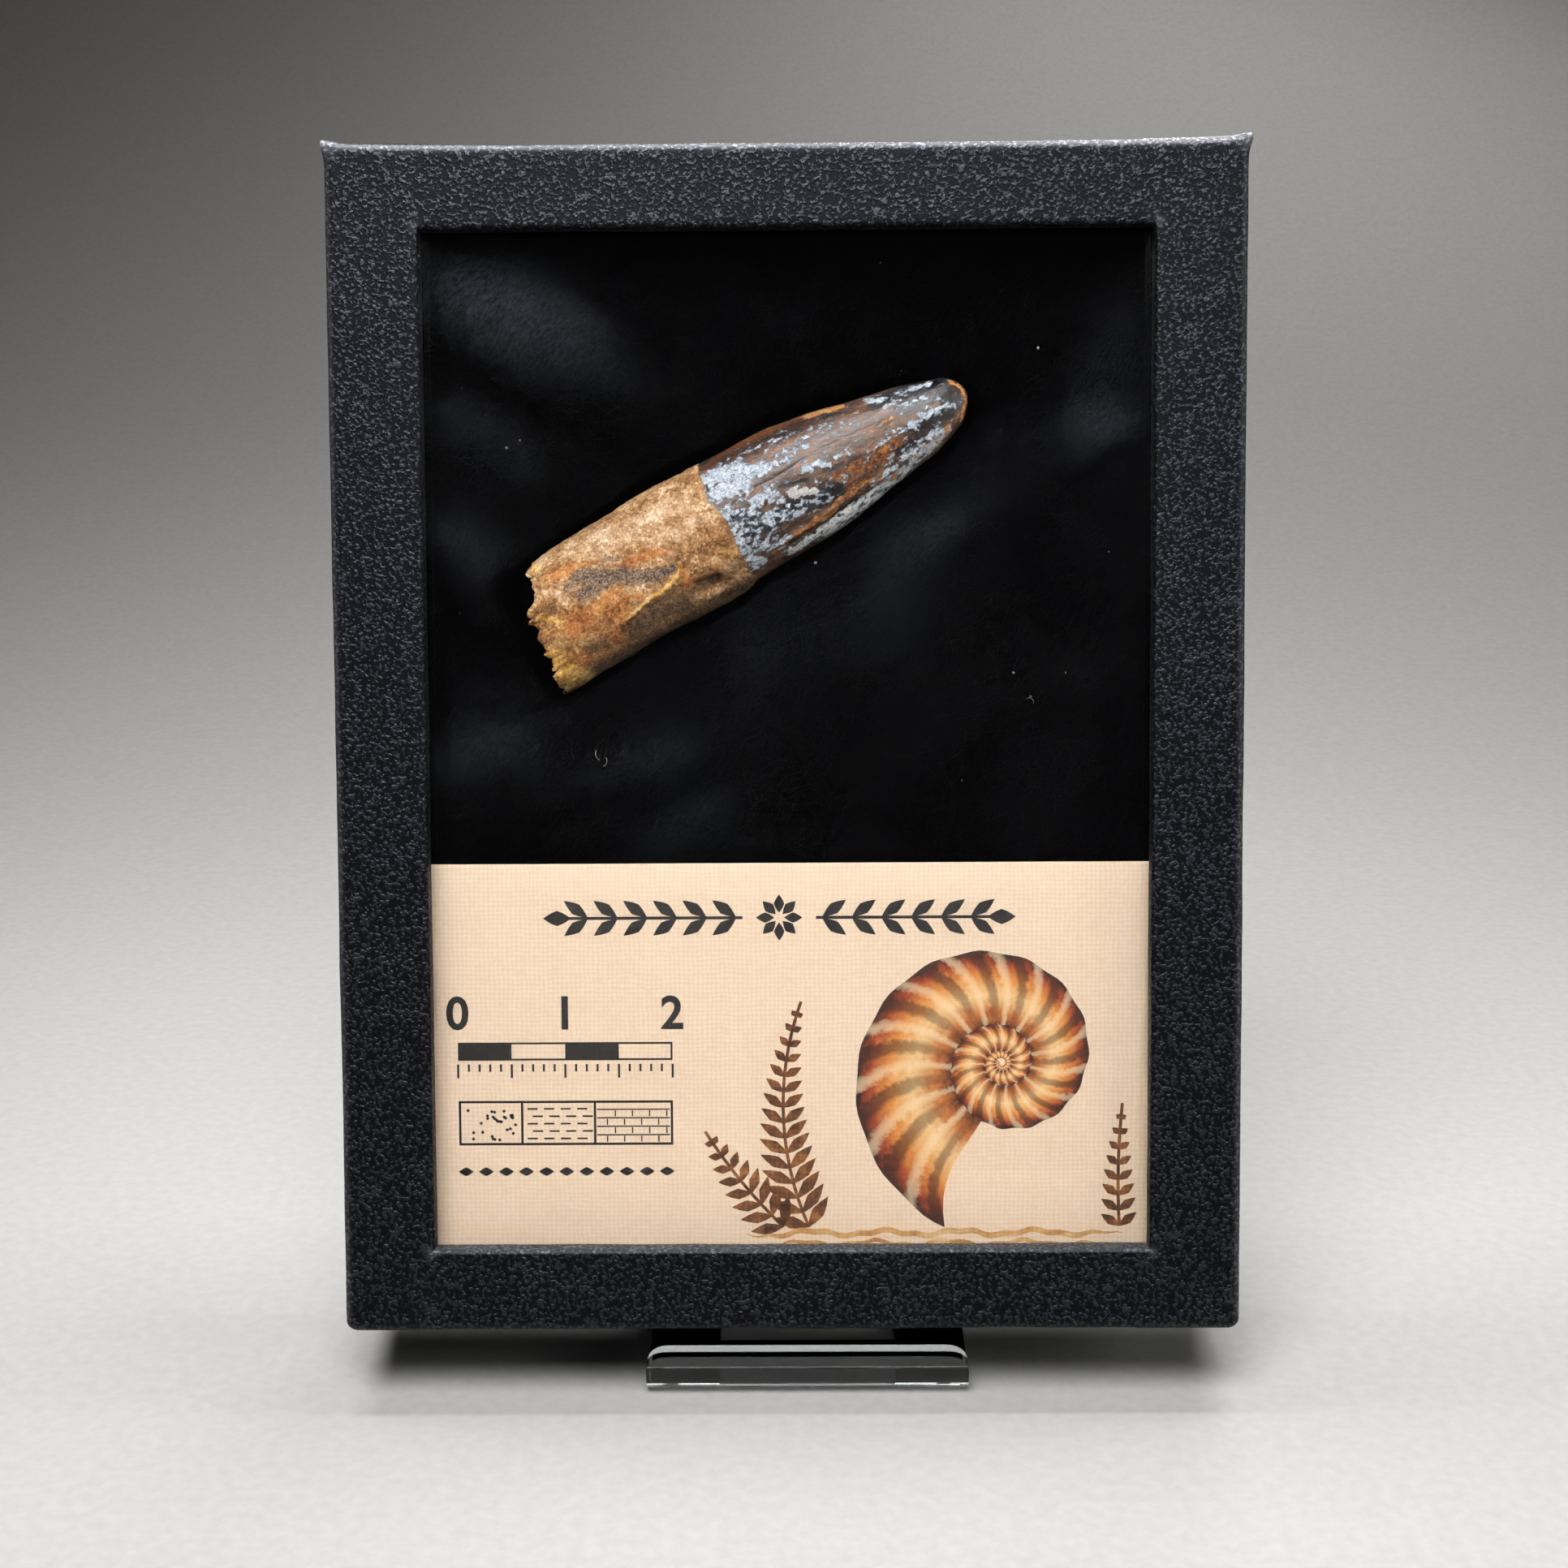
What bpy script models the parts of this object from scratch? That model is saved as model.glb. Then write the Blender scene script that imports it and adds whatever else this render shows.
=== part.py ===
"""A fossil tooth in a glazed specimen box that leans on a small clear easel.

The box is a black paper-covered lid with a window, a glass pane, a paper-covered tray and a
fibre pad. The pad presses the tooth and a printed card against the glass. The easel is one
strip of clear acrylic. Sizes are in millimetres and become metres when a mesh is finished.
X runs across the box, -Y is its front and +Z is up. The origin is on the ground, under the
middle of the whole object.
"""

import math

import bmesh
import bpy
from mathutils import Matrix, Vector, noise

MM = 0.001

# Specimen box: 3 1/4 by 4 1/4 inches and 3/4 inch deep
FACE_WIDTH = 82.55
FACE_HEIGHT = 107.95
BOX_DEPTH = 19.05
SIDE_BORDER = 8.35
END_BORDER = 7.6
LID_BOARD = 2.1
LID_WALL = 1.5
LID_EDGE_RADIUS = 0.45
GAP = 0.25

# What the lid holds, from the front to the back
GLASS_THICKNESS = 1.6
CARD_THICKNESS = 0.35
TRAY_WALL = 1.3
TRAY_BACK = 1.5

# Printed card, behind the lower part of the window
CARD_TOP = 42.95
CARD_BOTTOM = 3.35
CARD_WIDTH = 75.4
CARD_END_CURL = 0.7
CARD_END_LENGTH = 6.5

# How the box stands: its rear bottom edge sits in the easel's bend and its back on the easel
LEAN = math.radians(12.35)
REAR_EDGE_HEIGHT = 3.75

# Easel: one strip of clear sheet with a leg cut from its middle
SHEET = 2.1
EASEL_WIDTH = 30.2
EASEL_OFFSET = 1.4
EASEL_LIP_FRONT = 1.4
EASEL_LIP_HEIGHT = 4.3
EASEL_BACK_LENGTH = 46.0
LIP_BEND = 0.6
BACK_BEND = 1.8
SLOT_WIDTH = 16.8
SLOT_FRONT = 8.2
SLOT_TOP = 36.0
LEG_WIDTH = 15.6
LEG_FOOT = 37.5
LEG_BEND = 4.0
CORNER_RADIUS = 2.0

# Tooth: its base centre across and up the box's face, and its slope on the face
TOOTH_ACROSS = -22.54
TOOTH_UP = 64.28
TOOTH_SLOPE = math.radians(28.49)
TOOTH_LENGTH = 44.9
TIP_CAP = 2.2
CROWN_START = 19.6
TOOTH_DEPTH_SHARE = 0.82
FRONT_OF_TOOTH = 4.35
BASE_SLANT = 0.19
BASE_RING_COUNT = 6
TIP_RING_COUNT = 6
TOOTH_RINGS = 56
TOOTH_TURNS = 38

# The tooth's two edges on the face, as distance along its axis and distance from the axis
UPPER_EDGE = ((0, 5.9), (6, 7.0), (13, 7.35), (21, 6.65), (30, 5.95), (37.5, 4.65), (42.7, 3.3))
LOWER_EDGE = ((0, -5.85), (6, -5.5), (18.6, -5.5), (20.4, -5.15), (26, -4.8), (33, -3.85),
              (39, -2.75), (42.7, -1.9))

# Fibre pad: a soft sheet of ground that dips round the tooth and rises to the glass
PAD_CELLS_ACROSS = 36
PAD_CELLS_UP = 46
PAD_LEVEL = 0.55
PAD_FOLD = 1.9
PAD_FOLD_LENGTH = 21.0
PAD_DIP = 3.0
PAD_DIP_REACH = 6.5
POCKET_MARGIN = 2.4
POCKET_CLEARANCE = 0.7
POCKET_RIM = 0.2

# Places worked out from the sizes above
GLASS_FRONT = LID_BOARD + GAP
GLASS_BACK = GLASS_FRONT + GLASS_THICKNESS
INNER_WIDTH = FACE_WIDTH - 2 * (LID_WALL + GAP)
INNER_HEIGHT = FACE_HEIGHT - 2 * (LID_WALL + GAP)
TRAY_FRONT = GLASS_BACK + GAP
PAD_BACK = BOX_DEPTH - TRAY_BACK - GAP
PAD_WIDTH = INNER_WIDTH - 2 * (TRAY_WALL + GAP)
PAD_HEIGHT = INNER_HEIGHT - 2 * (TRAY_WALL + GAP)
CARD_FRONT = GLASS_BACK + GAP
CARD_BACK = CARD_FRONT + CARD_THICKNESS
WHOLE_DEPTH = FACE_HEIGHT * math.sin(LEAN) + BOX_DEPTH * math.cos(LEAN)
FRONT_EDGE_Y = -WHOLE_DEPTH / 2
FRONT_EDGE_HEIGHT = REAR_EDGE_HEIGHT + BOX_DEPTH * math.sin(LEAN)
SMALL = 1e-6


def clear_scene():
    for obj in list(bpy.data.objects):
        bpy.data.objects.remove(obj, do_unlink=True)


def material(name, colour, roughness, metallic=0.0, transmission=0.0):
    made = bpy.data.materials.new(name)
    made.use_nodes = True
    shader = made.node_tree.nodes["Principled BSDF"]
    shader.inputs["Base Color"].default_value = (*colour, 1.0)
    shader.inputs["Roughness"].default_value = roughness
    shader.inputs["Metallic"].default_value = metallic
    shader.inputs["Transmission Weight"].default_value = transmission
    return made


def finish(bm, name, look, parent=None, smooth_angle=None):
    """Turn a bmesh in millimetres into a named object in metres."""
    bmesh.ops.scale(bm, vec=(MM, MM, MM), verts=bm.verts)
    bmesh.ops.recalc_face_normals(bm, faces=bm.faces)
    mesh = bpy.data.meshes.new(name)
    bm.to_mesh(mesh)
    bm.free()
    if look:
        mesh.materials.append(look)
    if smooth_angle is not None:
        mesh.shade_smooth()
        mesh.set_sharp_from_angle(angle=smooth_angle)
    obj = bpy.data.objects.new(name, mesh)
    bpy.context.scene.collection.objects.link(obj)
    obj.parent = parent
    return obj


def block(low, high):
    """A bmesh box between two corners."""
    bm = bmesh.new()
    size = [b - a for a, b in zip(low, high)]
    middle = [(a + b) / 2 for a, b in zip(low, high)]
    place = Matrix.Translation(middle) @ Matrix.Diagonal((*size, 1.0))
    bmesh.ops.create_cube(bm, size=1.0, matrix=place)
    return bm


def cut(target, bm, name):
    """Take a bmesh out of target with a Boolean that stays live."""
    cutter = finish(bm, name, None, target.parent)
    cutter.hide_render = True
    cutter.display_type = "WIRE"
    boolean = target.modifiers.new(name, "BOOLEAN")
    boolean.operation = "DIFFERENCE"
    boolean.object = cutter


def join(target, bm, name):
    """Add a bmesh to target with a Boolean that stays live."""
    added = finish(bm, name, None, target.parent)
    added.hide_render = True
    added.display_type = "WIRE"
    boolean = target.modifiers.new(name, "BOOLEAN")
    boolean.operation = "UNION"
    boolean.object = added


def soften(obj, width, segments):
    bevel = obj.modifiers.new("soft edges", "BEVEL")
    bevel.width = width * MM
    bevel.segments = segments
    bevel.limit_method = "ANGLE"
    bevel.angle_limit = math.radians(50)


def curve_through(points, at):
    """Value of a smooth curve through (place, value) points, by Catmull-Rom spans."""
    last = len(points) - 2
    span = max(i for i in range(last + 1) if points[i][0] <= at or i == 0)
    (x1, y1), (x2, y2) = points[span], points[span + 1]
    x0, y0 = points[span - 1] if span > 0 else (2 * x1 - x2, 2 * y1 - y2)
    x3, y3 = points[span + 2] if span < last else (2 * x2 - x1, 2 * y2 - y1)
    t = (at - x1) / (x2 - x1)
    start = (y2 - y0) / (x2 - x0) * (x2 - x1)
    end = (y3 - y1) / (x3 - x1) * (x2 - x1)
    rise = y2 - y1
    return y1 + start * t + (3 * rise - 2 * start - end) * t**2 + (start + end - 2 * rise) * t**3


def bump(distance, reach):
    """One at no distance and falling smoothly to nothing."""
    return math.exp(-((distance / reach) ** 2))


def rounded_path(corners, radii, steps=5):
    """Corners of a bent line, each inner one replaced by an arc of its own radius."""
    path = [Vector(corners[0])]
    for before, here, after, radius in zip(corners, corners[1:], corners[2:], radii):
        here = Vector(here)
        back = (Vector(before) - here).normalized()
        on = (Vector(after) - here).normalized()
        half = back.angle(on) / 2
        middle = here + (back + on).normalized() * (radius / math.sin(half))
        first = here + back * (radius / math.tan(half)) - middle
        turn = first.angle_signed(here + on * (radius / math.tan(half)) - middle)
        for step in range(steps + 1):
            spoke = first.copy()
            spoke.rotate(Matrix.Rotation(-turn * step / steps, 2))
            path.append(middle + spoke)
    path.append(Vector(corners[-1]))
    return path


def sheet_along(path, thickness, low, high):
    """A bmesh sheet, in X from low to high, whose middle follows a path of (Y, Z) points."""
    sides = []
    for index, point in enumerate(path):
        ahead = path[min(index + 1, len(path) - 1)]
        behind = path[max(index - 1, 0)]
        along = (ahead - point).normalized() if ahead != point else Vector((0, 0))
        along += (point - behind).normalized() if behind != point else Vector((0, 0))
        along.normalize()
        normal = Vector((-along.y, along.x)) * thickness / 2
        sides.append((point + normal, point - normal))
    outline = [a for a, _ in sides] + [b for _, b in reversed(sides)]
    bm = bmesh.new()
    face = bm.faces.new([bm.verts.new((low, y, z)) for y, z in outline])
    grown = bmesh.ops.extrude_face_region(bm, geom=[face])["geom"]
    moved = [item for item in grown if isinstance(item, bmesh.types.BMVert)]
    bmesh.ops.translate(bm, verts=moved, vec=(high - low, 0, 0))
    bmesh.ops.recalc_face_normals(bm, faces=bm.faces)
    return bm


def make_lid(seat, look):
    """Board lid: a front with a window, and four walls that reach the tray's back."""
    half = FACE_WIDTH / 2
    lid = finish(block((-half, 0, 0), (half, BOX_DEPTH, FACE_HEIGHT)), "lid", look, seat)
    inner = half - LID_WALL
    hollow = block((-inner, LID_BOARD, LID_WALL), (inner, BOX_DEPTH + 2, FACE_HEIGHT - LID_WALL))
    cut(lid, hollow, "lid_hollow")
    opening = half - SIDE_BORDER
    window = block((-opening, -2, END_BORDER), (opening, LID_BOARD + 2, FACE_HEIGHT - END_BORDER))
    cut(lid, window, "lid_window")
    soften(lid, LID_EDGE_RADIUS, 2)


def make_glass(seat, look):
    half = INNER_WIDTH / 2
    low = LID_WALL + GAP
    pane = block((-half, GLASS_FRONT, low), (half, GLASS_BACK, low + INNER_HEIGHT))
    finish(pane, "glass_pane", look, seat)


def make_tray(seat, look):
    """Board tray that slides into the lid behind the glass, open at its front."""
    half = INNER_WIDTH / 2
    low = LID_WALL + GAP
    high = low + INNER_HEIGHT
    tray = finish(block((-half, TRAY_FRONT, low), (half, BOX_DEPTH, high)), "tray", look, seat)
    inner = half - TRAY_WALL
    hollow = block((-inner, TRAY_FRONT - 2, low + TRAY_WALL),
                   (inner, BOX_DEPTH - TRAY_BACK, high - TRAY_WALL))
    cut(tray, hollow, "tray_hollow")


def make_card(seat, look):
    """Printed card, flat behind the glass, with its two ends curling back into the pad."""
    half = CARD_WIDTH / 2
    middle = (CARD_FRONT + CARD_BACK) / 2
    ends = 5
    curl = [(half - CARD_END_LENGTH * (1 - step / ends), middle + CARD_END_CURL * (step / ends) ** 2)
            for step in range(ends + 1)]
    path = [Vector((-x, y)) for x, y in reversed(curl)] + [Vector((x, y)) for x, y in curl]
    bm = sheet_along(path, CARD_THICKNESS, CARD_BOTTOM, CARD_TOP)
    stand_up = Matrix(((0, 1, 0), (0, 0, 1), (1, 0, 0))).to_4x4()
    bmesh.ops.transform(bm, matrix=stand_up, verts=bm.verts)
    finish(bm, "label_card", look, seat)


def tooth_half_depth(along):
    spread = curve_through(UPPER_EDGE, along) - curve_through(LOWER_EDGE, along)
    return TOOTH_DEPTH_SHARE * spread / 2


def tooth_middle_depth(along):
    """The tooth lies with its front near the glass, so a thinner place has its middle nearer."""
    return FRONT_OF_TOOTH + 1.7 + 0.68 * tooth_half_depth(along)


def root_lumps(along, turn):
    """Height of the crust of sand on the root: low lumps, a ridge, a patch and a pit."""
    around = Vector((along * 0.42, math.cos(turn) * 2.4, math.sin(turn) * 2.4))
    rough = 0.34 * noise.noise(around) + 0.16 * noise.noise(around * 2.7)
    across = 6.2 * math.cos(turn)
    facing = max(0.0, math.sin(turn))
    ridge_line = -1.4 - 0.16 * (along - 8)
    ridge = 0.35 * bump(across - ridge_line, 0.8) * bump(along - 11.4, 4.0)
    patch = -0.22 * bump(along - 8.9, 3.6) * bump(across - 0.7, 1.7)
    pit = -0.75 * bump(along - 15.9, 1.1) * bump(across + 3.7, 0.9)
    return rough + facing * (ridge + patch + pit)


def crown_relief(along, turn):
    """Height on the crown: keels along both edges, a groove on the front and a worn tip."""
    keel = 0.28 * (bump(math.sin(turn / 2), 0.08) + bump(math.cos(turn / 2), 0.08))
    across = 5.0 * math.cos(turn)
    facing = max(0.0, math.sin(turn))
    groove = -0.3 * bump(across + 0.3, 0.5) * bump(along - 29, 6.5)
    chip = -0.5 * bump(along - 43.4, 1.3) * bump(across - 0.5, 2.6)
    fine = 0.07 * noise.noise(Vector((along * 0.5, math.cos(turn) * 2, math.sin(turn) * 2)))
    return keel * bump(along - 32, 14) + facing * (groove + chip) + fine


def tooth_point(ring, turn):
    """Point of the tooth's surface on one of its rings: along its axis, into the box, across."""
    body_rings = TOOTH_RINGS - BASE_RING_COUNT - TIP_RING_COUNT
    shaft = TOOTH_LENGTH - TIP_CAP
    if ring < BASE_RING_COUNT:
        along, share = 0.0, ring / BASE_RING_COUNT
    elif ring <= BASE_RING_COUNT + body_rings:
        along, share = shaft * (ring - BASE_RING_COUNT) / body_rings, 1.0
    else:
        lift = (ring - BASE_RING_COUNT - body_rings) / TIP_RING_COUNT * math.pi / 2
        along, share = shaft, math.cos(lift)
    upper, lower = curve_through(UPPER_EDGE, along), curve_through(LOWER_EDGE, along)
    on_crown = min(1.0, max(0.0, (along - CROWN_START + 0.5) / 0.5))
    height = (1 - on_crown) * root_lumps(along, turn) + on_crown * crown_relief(along, turn)
    half_width = share * ((upper - lower) / 2 + height)
    half_depth = share * (tooth_half_depth(along) + height)
    across = (upper + lower) / 2 + half_width * math.cos(turn)
    into = -half_depth * math.sin(turn)
    if along >= shaft:
        along += TIP_CAP * math.sqrt(max(0.0, 1 - share**2))
    if ring <= BASE_RING_COUNT:
        broken = 0.55 * noise.noise(Vector((across * 0.55, into * 0.55, 3.0)))
        along += BASE_SLANT * across + broken + 0.5 * (1 - share)
    elif ring < BASE_RING_COUNT + 4:
        along += BASE_SLANT * across * (1 - (ring - BASE_RING_COUNT) / 4)
    return Vector((along, into, across))


def make_tooth(seat, look):
    """Fossil tooth: a UV sphere whose parallels become the tooth's rings, broken base first."""
    bm = bmesh.new()
    bmesh.ops.create_uvsphere(bm, u_segments=TOOTH_TURNS, v_segments=TOOTH_RINGS, radius=1.0)
    for vert in bm.verts:
        ring = round(math.acos(max(-1.0, min(1.0, -vert.co.z))) / math.pi * TOOTH_RINGS)
        turn = math.atan2(vert.co.y, vert.co.x)
        vert.co = tooth_point(ring, turn)
    for vert in bm.verts:
        vert.co.y += tooth_middle_depth(min(max(vert.co.x, 0.0), TOOTH_LENGTH - TIP_CAP))
    place = Matrix.Translation((TOOTH_ACROSS, 0, TOOTH_UP)) @ Matrix.Rotation(-TOOTH_SLOPE, 4, "Y")
    bmesh.ops.transform(bm, matrix=place, verts=bm.verts)
    finish(bm, "tooth", look, seat, smooth_angle=math.radians(40))


def pad_depth(across, up):
    """How far behind the lid's front the pad's surface lies at a place on the face."""
    fold = noise.noise(Vector((across / PAD_FOLD_LENGTH, up / PAD_FOLD_LENGTH * 1.4, 7.3)))
    depth = GLASS_BACK + GAP + PAD_LEVEL + PAD_FOLD * (0.5 + 0.5 * fold)
    step = Vector((across - TOOTH_ACROSS, up - TOOTH_UP))
    axis = Vector((math.cos(TOOTH_SLOPE), math.sin(TOOTH_SLOPE)))
    along = step.dot(axis)
    off = axis.x * step.y - axis.y * step.x
    near = min(max(along, 0.0), TOOTH_LENGTH - TIP_CAP)
    upper, lower = curve_through(UPPER_EDGE, near), curve_through(LOWER_EDGE, near)
    half_width = (upper - lower) / 2
    sideways = max(0.0, abs(off - (upper + lower) / 2) - half_width)
    endways = max(0.0, near - along, along - TOOTH_LENGTH)
    depth += PAD_DIP * bump(math.hypot(sideways, endways), PAD_DIP_REACH)
    past = abs(off - (upper + lower) / 2) / (half_width + POCKET_MARGIN)
    beyond = max(0.0, -along - 1.2, along - TOOTH_LENGTH) / POCKET_MARGIN
    if past < 1 and beyond < 1:
        bed = (tooth_half_depth(near) + POCKET_CLEARANCE) * math.sqrt((1 - past**2) * (1 - beyond**2))
        bottom = tooth_middle_depth(near) + bed + POCKET_CLEARANCE / 2
        rim = min(1.0, (1 - past) / POCKET_RIM) * min(1.0, (1 - beyond) / POCKET_RIM)
        depth += max(0.0, bottom - depth) * rim
    under_card = min(1.0, max(0.0, (CARD_TOP + 3.5 - up) / 3.0))
    pressed = CARD_BACK + CARD_END_CURL + 2 * GAP
    return depth + (pressed - depth) * under_card


def make_pad(seat, look):
    """Fibre pad: a grid shaped by pad_depth, drawn back to a flat sheet on the tray."""
    bm = bmesh.new()
    bmesh.ops.create_grid(bm, x_segments=PAD_CELLS_ACROSS, y_segments=PAD_CELLS_UP, size=0.5)
    low = (FACE_HEIGHT - PAD_HEIGHT) / 2
    for vert in bm.verts:
        across = vert.co.x * PAD_WIDTH
        up = low + (vert.co.y + 0.5) * PAD_HEIGHT
        vert.co = (across, pad_depth(across, up), up)
    rim = [edge for edge in bm.edges if edge.is_boundary]
    grown = bmesh.ops.extrude_edge_only(bm, edges=rim)["geom"]
    for item in grown:
        if isinstance(item, bmesh.types.BMVert):
            item.co.y = PAD_BACK
    bmesh.ops.holes_fill(bm, edges=[e for e in bm.edges if e.is_boundary], sides=0)
    finish(bm, "batting", look, seat, smooth_angle=math.radians(60))


def make_easel(look):
    """Clear easel: lip, base and leaning back in one strip, with a leg cut from the middle."""
    half = SHEET / 2
    up_back = Vector((math.sin(LEAN), math.cos(LEAN)))
    rear_edge_y = BOX_DEPTH * math.cos(LEAN)
    lip = EASEL_LIP_FRONT + half
    bend_y = (rear_edge_y + (half - REAR_EDGE_HEIGHT) * math.tan(LEAN)
              + (GAP + half) / math.cos(LEAN))
    bend = Vector((bend_y, half))
    corners = [Vector((lip, EASEL_LIP_HEIGHT)), Vector((lip, half)), bend,
               bend + up_back * EASEL_BACK_LENGTH]
    path = rounded_path(corners, [LIP_BEND + half, BACK_BEND + half])
    bm = sheet_along(path, SHEET, -EASEL_WIDTH / 2, EASEL_WIDTH / 2)
    corner_edges = [edge for edge in bm.edges if is_free_corner(edge, corners[0], corners[-1])]
    bmesh.ops.bevel(bm, geom=corner_edges, offset=CORNER_RADIUS, offset_type="OFFSET",
                    segments=4, profile=0.5, affect="EDGES", material=-1)
    place = bpy.data.objects.new("easel_place", None)
    bpy.context.scene.collection.objects.link(place)
    place.location = Vector((EASEL_OFFSET, FRONT_EDGE_Y, 0)) * MM
    easel = finish(bm, "easel", look, place)

    slot = SLOT_WIDTH / 2
    slot_top = bend + up_back * SLOT_TOP
    floor_slot = block((-slot, SLOT_FRONT, -2), (slot, bend_y + 6, SHEET + 2))
    cut(easel, floor_slot, "floor_slot")
    back_path = [bend - up_back * 2, slot_top]
    cut(easel, sheet_along(back_path, SHEET * 3, -slot, slot), "back_slot")

    top = bend + up_back * (SLOT_TOP + 2.0)
    hinge = bend + up_back * (SLOT_TOP - LEG_BEND)
    foot = Vector((LEG_FOOT, -2.0))
    leg_path = rounded_path([top, hinge, foot], [LEG_BEND])
    leg = sheet_along(leg_path, SHEET, -LEG_WIDTH / 2, LEG_WIDTH / 2)
    cut_flat = bmesh.ops.bisect_plane(leg, geom=leg.verts[:] + leg.edges[:] + leg.faces[:],
                                      plane_co=(0, 0, 0), plane_no=(0, 0, -1), clear_outer=True)
    bmesh.ops.edgeloop_fill(leg, edges=[e for e in cut_flat["geom_cut"]
                                        if isinstance(e, bmesh.types.BMEdge)])
    join(easel, leg, "leg")


def is_free_corner(edge, lip_top, back_top):
    """Whether an edge crosses the sheet's thickness at a corner of the lip or of the back."""
    a, b = (vert.co for vert in edge.verts)
    if abs(abs(a.x) - EASEL_WIDTH / 2) > SMALL or abs(a.x - b.x) > SMALL:
        return False
    middle = Vector(((a.y + b.y) / 2, (a.z + b.z) / 2))
    return min((middle - lip_top).length, (middle - back_top).length) < SHEET / 4


def main():
    clear_scene()
    black_paper = material("black embossed paper", (0.012, 0.012, 0.014), 0.45)
    tray_paper = material("plain black paper", (0.015, 0.015, 0.016), 0.7)
    pane = material("window glass", (1.0, 1.0, 1.0), 0.02, transmission=1.0)
    fibre = material("black fibre", (0.01, 0.01, 0.012), 0.9)
    fossil = material("fossil tooth", (0.33, 0.19, 0.08), 0.55)
    card = material("cream card", (0.82, 0.66, 0.5), 0.6)
    acrylic = material("clear acrylic", (0.98, 0.99, 1.0), 0.03, transmission=1.0)

    seat = bpy.data.objects.new("box_seat", None)
    bpy.context.scene.collection.objects.link(seat)
    seat.location = Vector((0, FRONT_EDGE_Y, FRONT_EDGE_HEIGHT)) * MM
    seat.rotation_euler = (-LEAN, 0, 0)

    make_lid(seat, black_paper)
    make_glass(seat, pane)
    make_tray(seat, tray_paper)
    make_pad(seat, fibre)
    make_tooth(seat, fossil)
    make_card(seat, card)
    make_easel(acrylic)


main()
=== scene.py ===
"""Looks of a fossil tooth in a glazed specimen box that leans on a clear easel.

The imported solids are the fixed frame. Sizes are in millimetres. On the box they run across its
face in X, into the box in Y and up its face in Z, and BOX_PLACE leans them back and makes them
metres. The sections follow the order in which the box is filled, closed and set on its easel.
"""

import math
import random

import bmesh
import bpy
from mathutils import Matrix, Vector, noise


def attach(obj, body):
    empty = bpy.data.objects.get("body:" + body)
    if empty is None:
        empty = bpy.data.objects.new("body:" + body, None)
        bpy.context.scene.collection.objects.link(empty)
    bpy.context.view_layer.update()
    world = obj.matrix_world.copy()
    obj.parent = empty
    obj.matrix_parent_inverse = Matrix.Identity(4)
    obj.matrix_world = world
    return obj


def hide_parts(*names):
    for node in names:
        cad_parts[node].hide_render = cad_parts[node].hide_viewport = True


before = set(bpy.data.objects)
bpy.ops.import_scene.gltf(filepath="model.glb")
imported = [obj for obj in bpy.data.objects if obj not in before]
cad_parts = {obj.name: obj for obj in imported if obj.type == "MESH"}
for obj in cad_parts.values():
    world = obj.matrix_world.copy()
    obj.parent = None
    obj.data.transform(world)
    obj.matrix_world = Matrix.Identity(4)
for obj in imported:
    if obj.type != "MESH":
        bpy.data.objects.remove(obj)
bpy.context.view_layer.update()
scene = bpy.context.scene


# The box's place: it leans back on its rear bottom edge, which sits in the bend of the easel.
# Every piece of the box is shaped on its own face and then set in this place.
MM = 0.001
FACE_WIDTH, FACE_HEIGHT, BOX_DEPTH = 82.55, 107.95, 19.05
LEAN = math.radians(12.35)
REAR_EDGE_HEIGHT, BOX_CLEARANCE = 3.75, 0.25
WHOLE_DEPTH = FACE_HEIGHT * math.sin(LEAN) + BOX_DEPTH * math.cos(LEAN)
FRONT_EDGE_Y = -WHOLE_DEPTH / 2
FRONT_EDGE_HEIGHT = REAR_EDGE_HEIGHT + BOX_DEPTH * math.sin(LEAN)
TO_METRES = Matrix.Scale(MM, 4)
BOX_PLACE = (TO_METRES @ Matrix.Translation((0, FRONT_EDGE_Y, FRONT_EDGE_HEIGHT))
             @ Matrix.Rotation(-LEAN, 4, "X"))


# Camera: a long lens about 190 mm in front of the box and level with its top edge, which looks
# down 16 degrees. Its place was fitted to the box's corners in the photograph.
PHOTO_SIZE = 1932
FOCAL_PIXELS = 2800
PITCH, ROLL, YAW = math.radians(16.43), math.radians(0.45), math.radians(0.56)
CAMERA_FROM_BOX = Vector((-0.34, -186.77, 115.48))


def set_in_scene(name, data):
    """An object of the scene with its data."""
    made = bpy.data.objects.new(name, data)
    scene.collection.objects.link(made)
    return made


lens = bpy.data.cameras.new("camera")
lens.sensor_width = 36.0
lens.lens = FOCAL_PIXELS * lens.sensor_width / PHOTO_SIZE
lens.clip_start, lens.clip_end = 0.01, 10
camera = set_in_scene("camera", lens)
turn = Matrix.Rotation(YAW, 4, "Z")
place = turn @ CAMERA_FROM_BOX + Vector((0, FRONT_EDGE_Y, 0))
look_along = Matrix.Rotation(math.pi / 2 - PITCH, 4, "X") @ Matrix.Rotation(-ROLL, 4, "Z")
camera.matrix_world = Matrix.Translation(place * MM) @ turn @ look_along
scene.camera = camera


# Floor, backdrop and lights: a pale sweep, one large soft light high above the front of the box,
# a low strip that makes the lid's grain fade downwards, a strip over its top edge, a weak light
# at the right and one behind. None is part of the object.
def colour(hex_code):
    """An sRGB hex colour as linear red, green, blue and alpha."""
    parts = [int(hex_code[i:i + 2], 16) / 255 for i in (1, 3, 5)]
    return (*[p / 12.92 if p <= 0.04045 else ((p + 0.055) / 1.055) ** 2.4 for p in parts], 1.0)


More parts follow.
